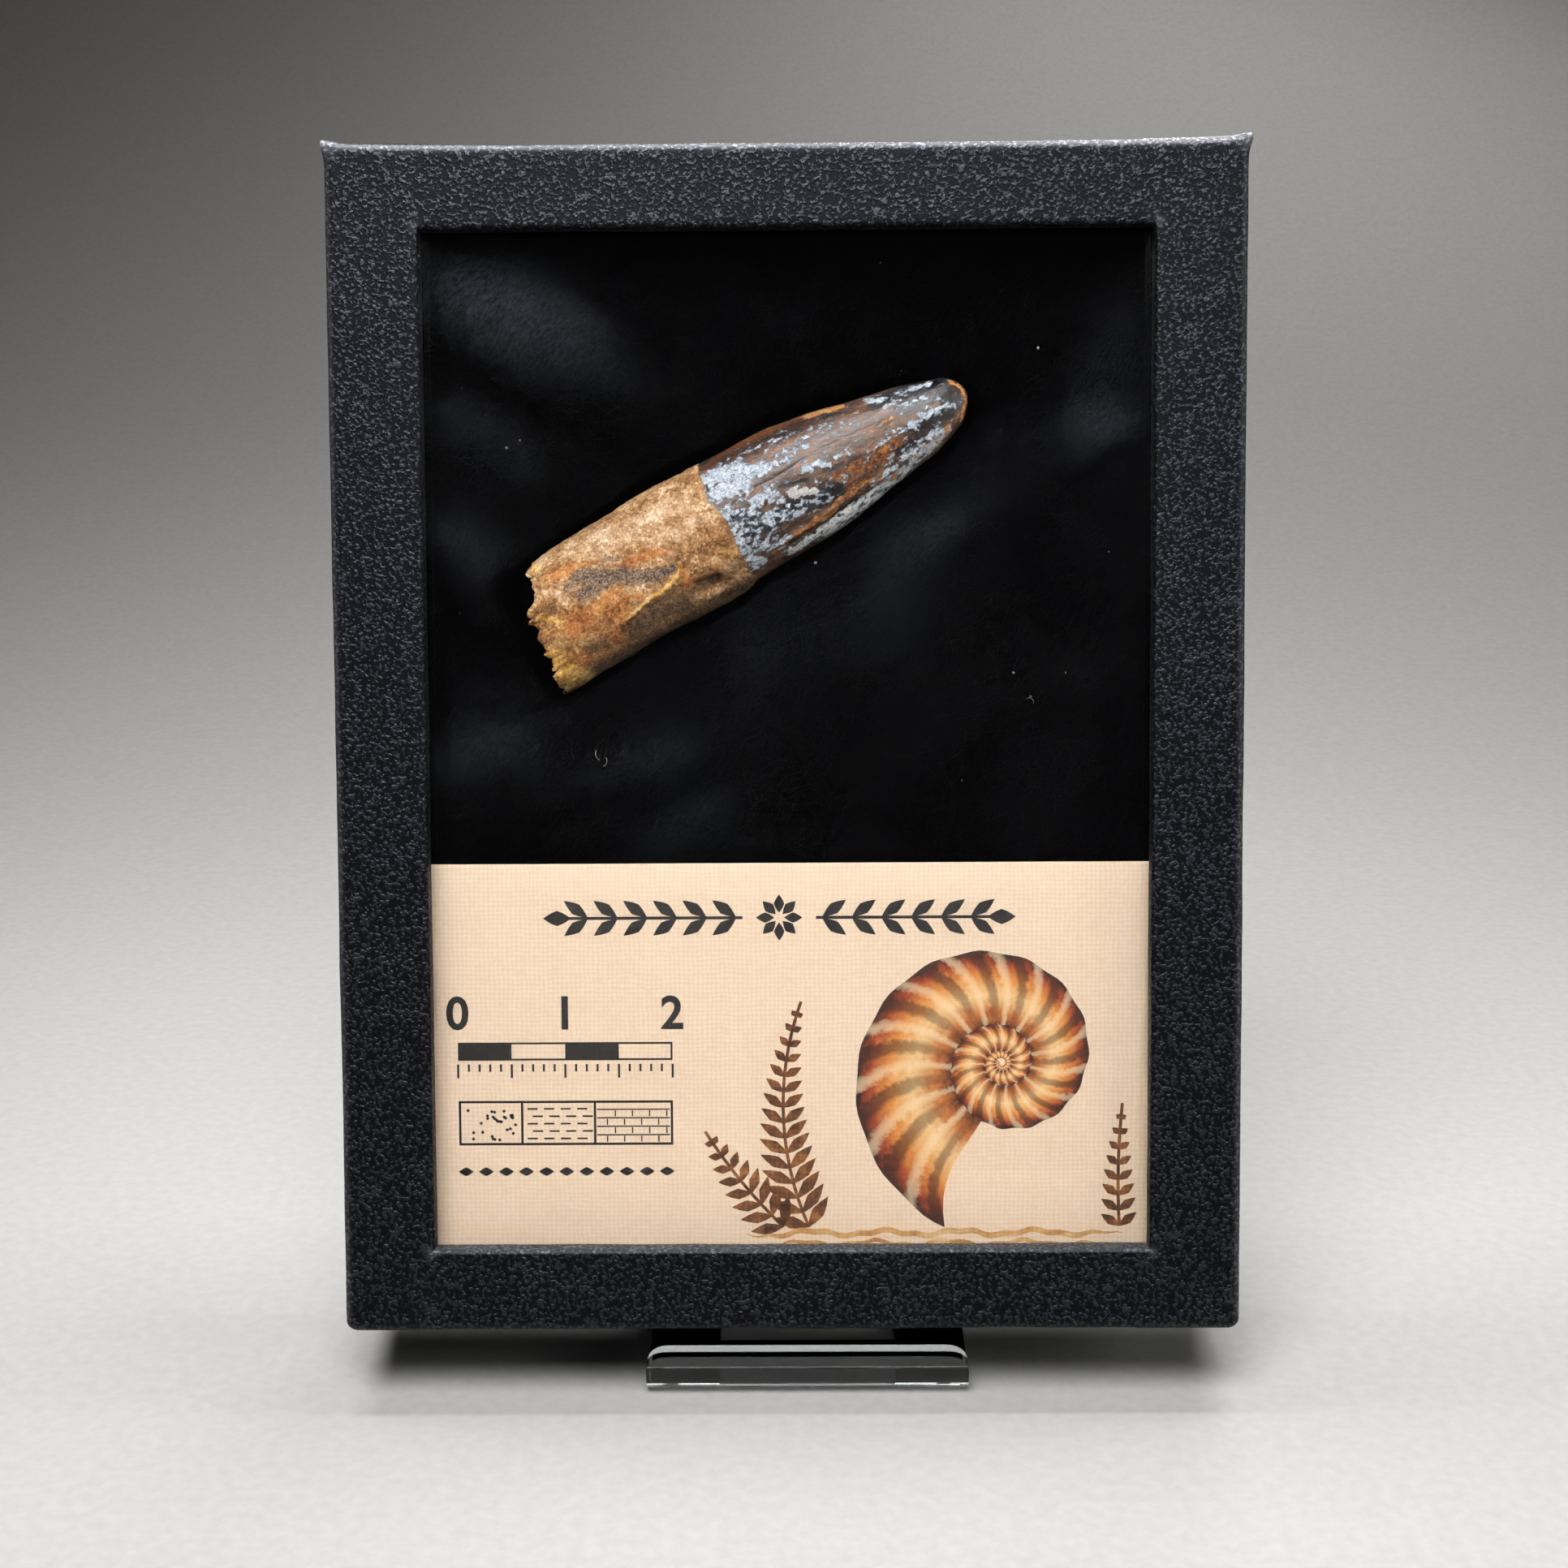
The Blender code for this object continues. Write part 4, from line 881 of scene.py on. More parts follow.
curve = strand_curve("lint_hairs", 0.03, 1)
for across, up, heading, curl in ((-17.9, 53.4, -1.9, 0.35), (-17.0, 52.8, -1.0, -0.4),
                                  (22.0, 58.0, 0.4, -0.5)):
    trail = []
    for step in range(6):
        trail.append((across, pad_depth(across, up) - 0.12, up))
        across, up = across + 0.2 * math.cos(heading), up + 0.2 * math.sin(heading)
        heading += curl
    add_strand(curve, trail)
hairs = add_piece(as_mesh(curve, "lint_hairs"), "lint_hairs", lint_look)


# Label card: cream card with a linen finish, pressed flat on the glass by the batting, its two
# ends curling back a little. It is printed with a generic design in black and earth colours.
CARD_WIDTH = 75.4
CARD_END_CURL, CARD_END_LENGTH = 0.7, 6.5
LINEN_PITCH = 0.42


def linen(tree, mm):
    """Thread pattern of a linen embossing: its tone, and its relief as a normal.

    A wave texture of scale one has a pitch of tau / 20.
    """
    uneven = add_node(tree, "TexNoise", {"Vector": mm, "Scale": 0.35, "Detail": 3})
    bent = add_node(tree, "VectorMath", {0: uneven.outputs["Color"], 1: (0.5, 0.5, 0.5), 2: mm},
                    operation="MULTIPLY_ADD")
    warp, weft = [
        add_node(tree, "TexWave", {"Vector": bent, "Scale": math.tau / 20 / LINEN_PITCH,
                                   "Distortion": 1.5, "Detail": 2, "Detail Scale": 2.0},
                 wave_type="BANDS", bands_direction=direction).outputs["Fac"]
        for direction in ("X", "Z")]
    broken = add_node(tree, "TexNoise", {"Vector": mm, "Scale": 1.4, "Detail": 4})
    tone = weighted(tree, (weighted(tree, (warp, 1.0), plus=weft), broken))
    relief = add_node(tree, "Bump", {"Height": tone, "Strength": 0.35, "Distance": 0.00003})
    return tone, relief


cream_card, tree, shader, mm = new_material("cream linen card")
tone, relief = linen(tree, mm)
shade = add_node(tree, "ValToRGB", {"Fac": tone}, [(0.1, "#E6CAAC"), (0.9, "#F0D9BF")])
set_inputs(tree, shader, {"Base Color": shade, "Roughness": 0.62, "Normal": relief})
half = CARD_WIDTH / 2
bm = board((-half, CARD_FRONT, CARD_BOTTOM), (half, CARD_FRONT + CARD_THICKNESS, CARD_TOP))
slice_up(bm, 0, [side * (half - CARD_END_LENGTH * step / 10) for side in (-1, 1)
                 for step in range(1, 11)] + [4.0 * step for step in range(-7, 8)])
slice_up(bm, 2, [CARD_BOTTOM + 4.0 * step for step in range(1, 10)])
top_edge = [e for e in bm.edges if all(v.co.z > CARD_TOP - NEAR and v.co.y < CARD_FRONT + NEAR
                                       for v in e.verts)]
round_edges(bm, top_edge, 0.15, 3)
for vert in bm.verts:
    curl = max(0.0, abs(vert.co.x) - half + CARD_END_LENGTH) / CARD_END_LENGTH
    vert.co.y += CARD_END_CURL * curl**2
card = finish_piece(bm, "printed_card", cream_card, sharp=50)
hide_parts("label_card")


# Print on the card: dry ink two hundredths of a millimetre thick. An ornament stands at the head, a
# centimetre scale with plain numbers, a rock section and a rule at the left, and a coiled shell
# with fern fronds at the right.
INK_THICKNESS = 0.02
INK_FACE = CARD_FRONT - INK_THICKNESS


def flat_shape(bm, *points):
    """A flat face of ink on the card between its corners."""
    bm.faces.new([bm.verts.new((u, INK_FACE, v)) for u, v in points])


def print_piece(bm, name, ink, sharp=30):
    """Give flat ink its thickness, towards the card, and finish it."""
    grown = bmesh.ops.extrude_face_region(bm, geom=bm.faces[:], use_keep_orig=True)["geom"]
    bmesh.ops.translate(bm, vec=(0, INK_THICKNESS, 0), verts=verts_of(grown))
    printed = finish_piece(bm, name, ink, sharp=sharp)


def ink_material(name, stops, scale):
    """Offset ink that has sunk into the linen, in tones that vary like halftone."""
    made, tree, shader, mm = new_material(name)
    blot = add_node(tree, "TexNoise", {"Vector": mm, "Scale": scale, "Detail": 4,
                                       "Roughness": 0.65})
    tone, relief = linen(tree, mm)
    shade = add_node(tree, "ValToRGB", {"Fac": weighted(tree, (tone, 0.12), plus=blot)}, stops)
    set_inputs(tree, shader, {"Base Color": shade, "Roughness": 0.6, "Normal": relief})
    return made


black_ink = ink_material("black offset ink", [(0.3, "#171413"), (0.85, "#2C2724")], 2.0)
brown_ink = ink_material("brown offset ink", [(0.35, "#3A2112"), (0.55, "#6A3D1D"),
                                              (0.75, "#9A6430")], 0.7)
ochre_ink = ink_material("ochre offset ink", [(0.35, "#A8703A"), (0.55, "#C99558"),
                                              (0.75, "#E2BC86")], 0.45)


def lozenge(bm, u, v, half_long, half_high, lean=0.0, sides=16):
    """A leaf shape pointed at both ends."""
    made = bmesh.ops.create_circle(bm, cap_ends=True, segments=sides, radius=1.0,
                                   matrix=Matrix.Rotation(math.pi / 2, 4, "X"))["verts"]
    for vert in made:
        x, z = vert.co.x, vert.co.z
        z *= half_high * math.sqrt(max(0.0, 1 - abs(x))) * 1.15
        x *= half_long
        vert.co = (u + x * math.cos(lean) - z * math.sin(lean), INK_FACE,
                   v + x * math.sin(lean) + z * math.cos(lean))


def bar(bm, u1, v1, u2, v2):
    flat_shape(bm, (u1, v1), (u2, v1), (u2, v2), (u1, v2))


# Head ornament, across the card: leaves in pairs on a stem, with a ring of dots in the middle.
bm = bmesh.new()
HEAD_MIDDLE, HEAD_UP = -1.0, 37.9
HEAD_LEAF_START, HEAD_LEAF_PITCH, HEAD_LEAF_LEAN = 5.1, 2.75, 0.62
for side in (-1, 1):
    for step in range(6):
        reach = HEAD_LEAF_START + HEAD_LEAF_PITCH * step
        for lean in (-1, 1):
            lozenge(bm, HEAD_MIDDLE + side * reach, HEAD_UP + lean * 0.85, 1.35, 0.48,
                    side * lean * HEAD_LEAF_LEAN)
    lozenge(bm, HEAD_MIDDLE + side * 20.6, HEAD_UP, 1.3, 0.62)
    bar(bm, HEAD_MIDDLE + side * 3.4, HEAD_UP - 0.14, HEAD_MIDDLE + side * 19.6, HEAD_UP + 0.14)
for step in range(8):
    angle = math.tau * step / 8
    lozenge(bm, HEAD_MIDDLE + 1.3 * math.cos(angle), HEAD_UP + 1.3 * math.sin(angle), 0.85, 0.42,
            angle)
print_piece(bm, "print_head_ornament", black_ink)

# Scale: two centimetres in blocks of 5 mm, plain numbers over it and fine ticks under it.
SCALE_LEFT, SCALE_UP = -31.0, 24.6
SCALE_BLOCK, SCALE_HEIGHT, SCALE_RULE = 5.0, 1.7, 0.18
bm = bmesh.new()
for step in range(4):
    at = SCALE_LEFT + SCALE_BLOCK * step
    if step % 2 == 0:
        bar(bm, at, SCALE_UP, at + SCALE_BLOCK, SCALE_UP + SCALE_HEIGHT)
    else:
        for low, high in ((0.0, SCALE_RULE), (SCALE_HEIGHT - SCALE_RULE, SCALE_HEIGHT)):
            bar(bm, at, SCALE_UP + low, at + SCALE_BLOCK, SCALE_UP + high)
scale_end = SCALE_LEFT + 4 * SCALE_BLOCK
bar(bm, scale_end - SCALE_RULE, SCALE_UP + SCALE_RULE, scale_end,
    SCALE_UP + SCALE_HEIGHT - SCALE_RULE)
for step in range(21):
    drop = 1.3 if step % 5 == 0 else 0.7
    at = SCALE_LEFT + step
    bar(bm, at - 0.1, SCALE_UP - 0.35 - drop, at + 0.1, SCALE_UP - 0.35)
print_piece(bm, "print_scale", black_ink)

for number in range(3):
    text = bpy.data.curves.new(f"print_number_{number}", "FONT")
    text.body = str(number)
    text.align_x = "CENTER"
    text.size = 4.3
    text.offset = 0.1
    text.extrude = INK_THICKNESS / 2
    text.resolution_u = 4
    mesh = as_mesh(text, f"print_number_{number}")
    mesh.transform(BOX_PLACE @ Matrix.Translation((SCALE_LEFT + 10.0 * number,
                                                   INK_FACE + INK_THICKNESS / 2, 27.6))
                   @ Matrix.Rotation(math.pi / 2, 4, "X"))
    figure = add_piece(mesh, f"print_number_{number}", black_ink, sharp=30)

# Rock section: a framed strip of sand dots, clay dashes and bonded blocks, with a rule below.
SECTION_LEFT, SECTION_RIGHT, SECTION_LOW, SECTION_HIGH = -31.0, -11.0, 16.6, 20.8
SECTION_RULE = 0.22
bm = bmesh.new()
for low in (SECTION_LOW, SECTION_HIGH - SECTION_RULE):
    bar(bm, SECTION_LEFT, low, SECTION_RIGHT, low + SECTION_RULE)
for at in (SECTION_LEFT, -25.2, -18.4, SECTION_RIGHT - SECTION_RULE):
    bar(bm, at, SECTION_LOW + SECTION_RULE, at + SECTION_RULE, SECTION_HIGH - SECTION_RULE)
for step in range(30):
    u, v = draw.uniform(-30.5, -25.6), draw.uniform(SECTION_LOW + 0.5, SECTION_HIGH - 0.5)
    lozenge(bm, u, v, 0.17, 0.15, 0.0, 8)
for row in range(5):
    for step in range(4):
        at = -24.6 + 1.55 * step + 0.5 * (row % 2)
        bar(bm, at, SECTION_LOW + 0.55 + 0.7 * row, at + 0.95, SECTION_LOW + 0.71 + 0.7 * row)
for row in range(4):
    bar(bm, -18.1, SECTION_LOW + 0.9 + 0.8 * row, SECTION_RIGHT - 0.3,
        SECTION_LOW + 1.02 + 0.8 * row)
    for step in range(4):
        at = -17.2 + 1.6 * step + 0.75 * (row % 2)
        bar(bm, at, SECTION_LOW + 0.3 + 0.8 * row, at + 0.12, SECTION_LOW + 0.86 + 0.8 * row)
for step in range(11):
    lozenge(bm, -30.4 + 1.88 * step, 14.1, 0.7, 0.36)
print_piece(bm, "print_rock_section", black_ink)

# Coiled shell, in ochre with orange and dark ribs: a strip wound into a widening spiral, whose
# own map runs along the coil and across it.
SHELL_MIDDLE = (19.6, 24.2)
SHELL_TURNS, SHELL_RIBS = 3.3, 15
SHELL_REACH, SHELL_WIDENING = 16.4, 0.165
MOUTH_ANGLE = 1.9
shell_ink, tree, shader, mm = new_material("printed coiled shell")
coil = add_node(tree, "UVMap", uv_map="coil")
along, outwards = add_node(tree, "SeparateXYZ", {"Vector": coil}).outputs[:2]
blot = add_node(tree, "TexNoise", {"Vector": mm, "Scale": 1.2, "Detail": 5, "Roughness": 0.68})
off_keel = add_node(tree, "Math", {0: weighted(tree, (outwards, 1.0), plus=-0.35)},
                    operation="ABSOLUTE")
bow = add_node(tree, "Math", {0: off_keel, 1: 1.7}, operation="POWER")
rib_at = weighted(tree, (blot, 0.35), (bow, -0.75), plus=along)
rib = add_node(tree, "Math", {0: weighted(tree, (rib_at, math.tau))}, operation="SINE")
body = add_node(tree, "ValToRGB", {"Fac": weighted(
    tree, (outwards, 1.0), (blot, 0.35), plus=-0.17)},
    [(0.0, "#5A2C14"), (0.16, "#B86A2C"), (0.42, "#E7BE85"), (0.66, "#D68A3E"),
     (0.86, "#9C3F17"), (1.0, "#2E1710")])
rib_shade = add_node(tree, "MapRange", {"Value": rib, "From Min": 0.25, "From Max": 0.8,
                                        "To Max": 0.85})
worn = weighted(tree, (rib_shade, weighted(tree, (outwards, 0.75), plus=0.3)), clamp=True)
shine = add_node(tree, "MapRange", {"Value": rib, "From Min": -1.0, "From Max": -0.5,
                                    "To Min": 0.45, "To Max": 0.0})
printed = body
for amount, over in ((worn, "#3B1A0E"), (shine, "#F2DDB4")):
    printed = add_node(tree, "Mix", {0: amount, 6: printed, 7: colour(over)},
                       data_type="RGBA").outputs[2]
tone, relief = linen(tree, mm)
set_inputs(tree, shader, {"Base Color": printed, "Roughness": 0.6, "Normal": relief})


def coil_radius(turns_in):
    """Distance of the coil's outer edge from its middle, some turns in from the mouth."""
    return SHELL_REACH * math.exp(-SHELL_WIDENING * math.tau * turns_in)


bm = bmesh.new()
bmesh.ops.create_grid(bm, x_segments=300, y_segments=8, size=0.5)
map_layer = bm.loops.layers.uv.new("coil")
for face in bm.faces:
    for corner in face.loops:
        corner[map_layer].uv = (SHELL_RIBS * SHELL_TURNS * (corner.vert.co.x + 0.5),
                                corner.vert.co.y + 0.5)
for vert in bm.verts:
    turns_in = (0.5 - vert.co.x) * SHELL_TURNS
    outer, inner = coil_radius(turns_in), coil_radius(turns_in + 1) * 0.97
    mouth = 0.9 * bump(turns_in, 0.03)
    share = vert.co.y + 0.5
    radius = inner + share * (outer - inner + 0.1 * math.sin(math.tau * SHELL_RIBS * turns_in))
    angle = -math.tau * turns_in - MOUTH_ANGLE - 0.12 * mouth * math.sin(math.pi * share)
    vert.co = (SHELL_MIDDLE[0] + radius * math.cos(angle), INK_FACE,
               SHELL_MIDDLE[1] + radius * math.sin(angle))
print_piece(bm, "print_coiled_shell", shell_ink, sharp=40)

# Fern fronds: two dark stems that curve up beside the shell, with leaves that shrink to the tip.
LEAF_STEP, LEAF_SPREAD = 1.45, 0.95
bm = bmesh.new()
for u, v, heading, bend, count, grow in (
        (1.6, 8.8, 1.95, -0.05, 15, 1.0), (30.6, 8.8, 1.62, -0.02, 8, 0.6),
        (-0.8, 8.8, 2.35, -0.03, 8, 0.9)):
    for step in range(count):
        size = grow * (2.9 * (1 - (step / count) ** 1.6) + 0.35)
        for side in (-1, 1):
            lean = heading + side * LEAF_SPREAD
            lozenge(bm, u + 0.5 * size * math.cos(lean), v + 0.5 * size * math.sin(lean),
                    0.55 * size, 0.2 + 0.1 * size, lean, 12)
        nu, nv = u + LEAF_STEP * math.cos(heading), v + LEAF_STEP * math.sin(heading)
        across = Vector((-math.sin(heading), math.cos(heading))) * 0.16
        flat_shape(bm, (u + across.x, v + across.y), (u - across.x, v - across.y),
                   (nu - across.x * 0.9, nv - across.y * 0.9),
                   (nu + across.x * 0.9, nv + across.y * 0.9))
        u, v = nu, nv
        heading += bend
print_piece(bm, "print_fern_fronds", brown_ink)

# Ground under the shell: three wavy beds of ochre ink.
bm = bmesh.new()
for index, (low, thick, left, right) in enumerate(((7.9, 0.55, -4.4, 31.0), (7.0, 0.4, -2.5, 29.5),
                                                   (6.35, 0.25, 1.0, 26.0))):
    strip = bmesh.ops.create_grid(bm, x_segments=60, y_segments=1, size=0.5)["verts"]
    for vert in strip:
        u = left + (right - left) * (vert.co.x + 0.5)
        ends = min(1.0, 8 * (0.5 - abs(vert.co.x)) + 0.05)
        wave = 0.22 * math.sin(u * 0.9 + index) + 0.12 * math.sin(u * 2.3 + 2 * index)
        vert.co = (u, INK_FACE, low + wave + thick * ends * (vert.co.y + 0.5))
print_piece(bm, "print_ground_beds", ochre_ink)


# Glass: a pane of clear float glass, held between the lid's board and the tray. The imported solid
# is right as it is, so it only gets its material, with the faintest unevenness and dust.
window_glass, tree, shader, mm = new_material("clear float glass")
wave = add_node(tree, "TexNoise", {"Vector": mm, "Scale": 0.02, "Detail": 1})
dust = add_node(tree, "TexNoise", {"Vector": mm, "Scale": 1.5, "Detail": 4})
film = add_node(tree, "MapRange", {"Value": dust, "From Min": 0.55, "From Max": 0.9,
                                   "To Min": 0.0, "To Max": 0.02})
relief = add_node(tree, "Bump", {"Height": wave, "Strength": 0.1, "Distance": 0.0002})
set_inputs(tree, shader, {"Base Color": colour("#FFFFFF"), "Roughness": film, "IOR": 1.52,
                          "Transmission Weight": 1.0, "Normal": relief})
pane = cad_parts["glass_pane"]
for held in pane.material_slots:
    held.material = window_glass


# Lid: grey board wrapped in black paper embossed like pebbled leather, with a window cut in its
# front. The paper goes round every edge, is lapped over the end walls and stands up in two small
# ears at the top corners.
SIDE_BORDER, END_BORDER = 8.35, 7.6
LID_BOARD, LID_WALL = 2.1, 1.5
EDGE_ROUND, WINDOW_ROUND, RIM_ROUND = 0.9, 0.4, 0.3
LAP_WIDTH, LAP_STEP = 9.5, 0.11
PEBBLE_PITCH = 0.52
CELL_ACROSS, CELL_UP, CELL_DEEP = 0.42, 0.55, 2.6

leatherette, tree, shader, mm = new_material("black embossed leatherette paper")
stray = add_node(tree, "TexNoise", {"Vector": mm, "Scale": 1.3, "Detail": 2})
bent = add_node(tree, "VectorMath", {0: stray.outputs["Color"], 1: (0.3, 0.3, 0.3), 2: mm},
                operation="MULTIPLY_ADD")
pebble = add_node(tree, "TexVoronoi", {"Vector": bent, "Scale": 1 / PEBBLE_PITCH},
                  feature="DISTANCE_TO_EDGE")
worms = add_node(tree, "TexNoise", {"Vector": bent, "Scale": 1.35 / PEBBLE_PITCH, "Detail": 1,
                                    "Roughness": 0.5})
raised = add_node(tree, "MapRange", {"Value": weighted(tree, (pebble, 0.55), plus=worms),
                                     "From Min": 0.5, "From Max": 0.78},
                  interpolation_type="SMOOTHSTEP")
press = add_node(tree, "TexNoise", {"Vector": mm, "Scale": 0.35, "Detail": 3, "Roughness": 0.5})
raised = weighted(tree, (raised, weighted(tree, (press, 0.8), plus=0.55)))
# Paler colour of worn edges from the vertex attribute: partly real worn paper, partly painted
# highlight along the top edge and the window's bottom edge, and painted glints at the window's
# corners.
worn = add_node(tree, "Attribute", attribute_name="edge_wear_and_glint").outputs["Fac"]
rubbed_and_glint = weighted(tree, (worn, weighted(tree, (raised, 0.6), plus=0.5)), clamp=True)
# Pebble tops are painted lighter than the gaps between them, and the gaps get less specular:
# painted shade in the gaps.
black_shade = colour("#040405")
for amount, over in ((raised, "#0E0F12"), (rubbed_and_glint, "#727378")):
    black_shade = add_node(tree, "Mix", {0: amount, 6: black_shade, 7: colour(over)},
                           data_type="RGBA").outputs[2]
sheen = add_node(tree, "MapRange", {"Value": raised, "To Min": 0.48, "To Max": 0.38})
shine = add_node(tree, "MapRange", {"Value": raised, "To Min": 0.07, "To Max": 0.3})
relief = add_node(tree, "Bump", {"Height": raised, "Strength": 1.0, "Distance": 0.00006})
set_inputs(tree, shader, {"Base Color": black_shade, "Roughness": sheen,
                          "Specular IOR Level": shine, "Specular Tint": colour("#DCE2F4"),
                          "Normal": relief})

half = FACE_WIDTH / 2
opening = half - SIDE_BORDER
bm = board((-half, 0, 0), (half, BOX_DEPTH, FACE_HEIGHT))
bm.faces.ensure_lookup_table()
front = min(bm.faces, key=lambda face: face.calc_center_median().y)
back = max(bm.faces, key=lambda face: face.calc_center_median().y)
bmesh.ops.inset_individual(bm, faces=[back], thickness=LID_WALL)
back = bmesh.ops.extrude_discrete_faces(bm, faces=[back])["faces"][0]
moved_verts(bm, [back], (0, LID_BOARD - BOX_DEPTH, 0))
for face in (front, back):
    bmesh.ops.inset_individual(bm, faces=[face], thickness=2.0)
    for vert in face.verts:
        vert.co.x = math.copysign(opening, vert.co.x)
        vert.co.z = END_BORDER if vert.co.z < FACE_HEIGHT / 2 else FACE_HEIGHT - END_BORDER
reveal = [edge for face in (front, back) for edge in face.edges]
bmesh.ops.delete(bm, geom=[front, back], context="FACES_ONLY")
bmesh.ops.bridge_loops(bm, edges=reveal)
bmesh.ops.recalc_face_normals(bm, faces=bm.faces)


def edges_where(bm, test):
    return [edge for edge in bm.edges if all(test(vert.co) for vert in edge.verts)]


def on_window(co):
    return (abs(co.x) < opening + NEAR
            and abs(co.z - FACE_HEIGHT / 2) < FACE_HEIGHT / 2 - END_BORDER + NEAR)


def on_outside(co):
    return abs(co.x) > half - NEAR or abs(co.z - FACE_HEIGHT / 2) > FACE_HEIGHT / 2 - NEAR


round_edges(bm, edges_where(bm, lambda co: co.y < NEAR and on_window(co)), WINDOW_ROUND, 4)
outside = edges_where(bm, lambda co: on_outside(co) and co.y < NEAR)
corners = [e for e in edges_where(bm, on_outside)
           if abs(e.verts[0].co.y - e.verts[1].co.y) > 1]
round_edges(bm, outside + corners, EDGE_ROUND, 5)
round_edges(bm, [e for e in edges_where(bm, lambda co: co.y > BOX_DEPTH - NEAR)
                 if e.calc_face_angle(0) > 1.0], RIM_ROUND, 3)
slice_up(bm, 0, [CELL_ACROSS * step for step in range(-98, 99)]
         + [side * (half - LAP_WIDTH + nudge) for side in (-1, 1) for nudge in (0.0, 0.12)])
slice_up(bm, 2, [CELL_UP * step for step in range(1, 196)])
slice_up(bm, 1, [CELL_DEEP * step for step in range(1, 8)])
bm.normal_update()
# Worn edges, partly real and partly painted light: the rounded outer edges are painted paler as
# worn paper, most along the top edge, where this is also a painted highlight from the light above,
# and least along the bottom. The window's upward-facing bottom edge gets a painted highlight and
# its corners painted glints; the ears at the top corners are painted pale too.
wear_and_glint = bm.verts.layers.float.new("edge_wear_and_glint")
for vert in bm.verts:
    across, into, up = vert.co
    normal = vert.normal.copy()
    slant = min(1.0, 3.2 * (1.0 - max(abs(c) for c in normal)))
    edge_rub_and_light = 1.0 if up > FACE_HEIGHT - EDGE_ROUND else 0.1 if up < EDGE_ROUND else 0.24
    inside = abs(across) < half - EDGE_ROUND and EDGE_ROUND < up < FACE_HEIGHT - EDGE_ROUND
    mitre = Vector((abs(across) - opening - 0.3, into,
                    abs(up - FACE_HEIGHT / 2) - FACE_HEIGHT / 2 + END_BORDER - 0.3))
    lit_sill = abs(up - END_BORDER) < 0.5 and normal.z > 0.25 and abs(across) < opening + 0.2
    vert[wear_and_glint] = (0.16 if lit_sill else 0.24 * bump(mitre.length, 0.4)) if inside else edge_rub_and_light * slant
    lapped = abs(normal.z) > 0.9 and on_outside(vert.co) and abs(across) > half - LAP_WIDTH + 0.06
    wave = (0.05 * noise.noise(vert.co / 13.0) + 0.035 * noise.noise(vert.co / 4.5)
            + 0.09 * vert[wear_and_glint] * noise.noise(vert.co * 1.5))
    vert.co += normal * (wave + (LAP_STEP if lapped else 0.0))
    if up > FACE_HEIGHT - 3:
        vert.co.z += 0.3 * (abs(across) / half) ** 8 - 0.1
    for side in (-1, 1):
        corner = Vector((side * (half - 0.2), 0.35, FACE_HEIGHT - 0.15))
        pull = bump((vert.co - corner).length, 0.75)
        vert.co += Vector((side * 0.55, -0.12, 0.5)) * pull
        vert[wear_and_glint] = max(vert[wear_and_glint], pull)
lid = finish_piece(bm, "lid_cover", leatherette, sharp=50)
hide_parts("lid")


# Easel: one strip of clear acrylic sheet, laser cut, flame polished and bent warm. It has a lip
# in front, a flat base, a back that leans with the box and a leg bent out of its middle.
SHEET = 2.1
EASEL_WIDTH, EASEL_OFFSET = 30.2, 1.4
LIP_FRONT, LIP_HEIGHT = 1.4, 4.3
LIP_BEND, BACK_BEND = 0.6, 1.8
BACK_LENGTH = 46.0
SLOT_WIDTH, SLOT_FRONT, SLOT_TOP = 16.8, 8.2, 36.0
LEG_WIDTH, LEG_FOOT, LEG_BEND = 15.6, 37.5, 4.0
CORNER_RADIUS = 2.0
EASEL_PLACE = TO_METRES @ Matrix.Translation((EASEL_OFFSET, FRONT_EDGE_Y, 0))
ARC_STEPS = 10


def rounded_path(corners, radii):
    """Corners of a bent line, each inner one replaced by an arc of its own radius."""
    path = [Vector(corners[0])]
    for before, here, after, radius in zip(corners, corners[1:], corners[2:], radii):
        here = Vector(here)
        back = (Vector(before) - here).normalized()
        on = (Vector(after) - here).normalized()
        half = back.angle(on) / 2
        middle = here + (back + on).normalized() * (radius / math.sin(half))
        first = here + back * (radius / math.tan(half)) - middle
        turn = first.angle_signed(here + on * (radius / math.tan(half)) - middle)
        for step in range(ARC_STEPS + 1):
            spoke = first.copy()
            spoke.rotate(Matrix.Rotation(-turn * step / ARC_STEPS, 2))
            path.append(middle + spoke)
    path.append(Vector(corners[-1]))
    return path


def draw_out(bm, row, path):
    """Draw a row of edges out along a path of (Y, Z) points."""
    for point in path:
        grown = bmesh.ops.extrude_edge_only(bm, edges=row)["geom"]
        row = [item for item in grown if isinstance(item, bmesh.types.BMEdge)
               and abs(item.verts[0].co.x - item.verts[1].co.x) > 1e-6
               and all(v in grown for v in item.verts)]
        for vert in {v for edge in row for v in edge.verts}:
            vert.co.y, vert.co.z = point


# Clear cast acrylic, as thick sheet: glass-clear, a little blue-grey through its length.
acrylic, tree, shader, mm = new_material("clear cast acrylic")
rubs = add_node(tree, "TexNoise", {"Vector": mm, "Scale": 0.9, "Detail": 5})
haze = add_node(tree, "MapRange", {"Value": rubs, "From Min": 0.5, "From Max": 0.85,
                                   "To Min": 0.0, "To Max": 0.09})
relief = add_node(tree, "Bump", {"Height": rubs, "Strength": 0.05, "Distance": 0.00005})
set_inputs(tree, shader, {"Base Color": colour("#F4FAFC"), "Roughness": haze, "IOR": 1.49,
                          "Transmission Weight": 1.0, "Normal": relief})

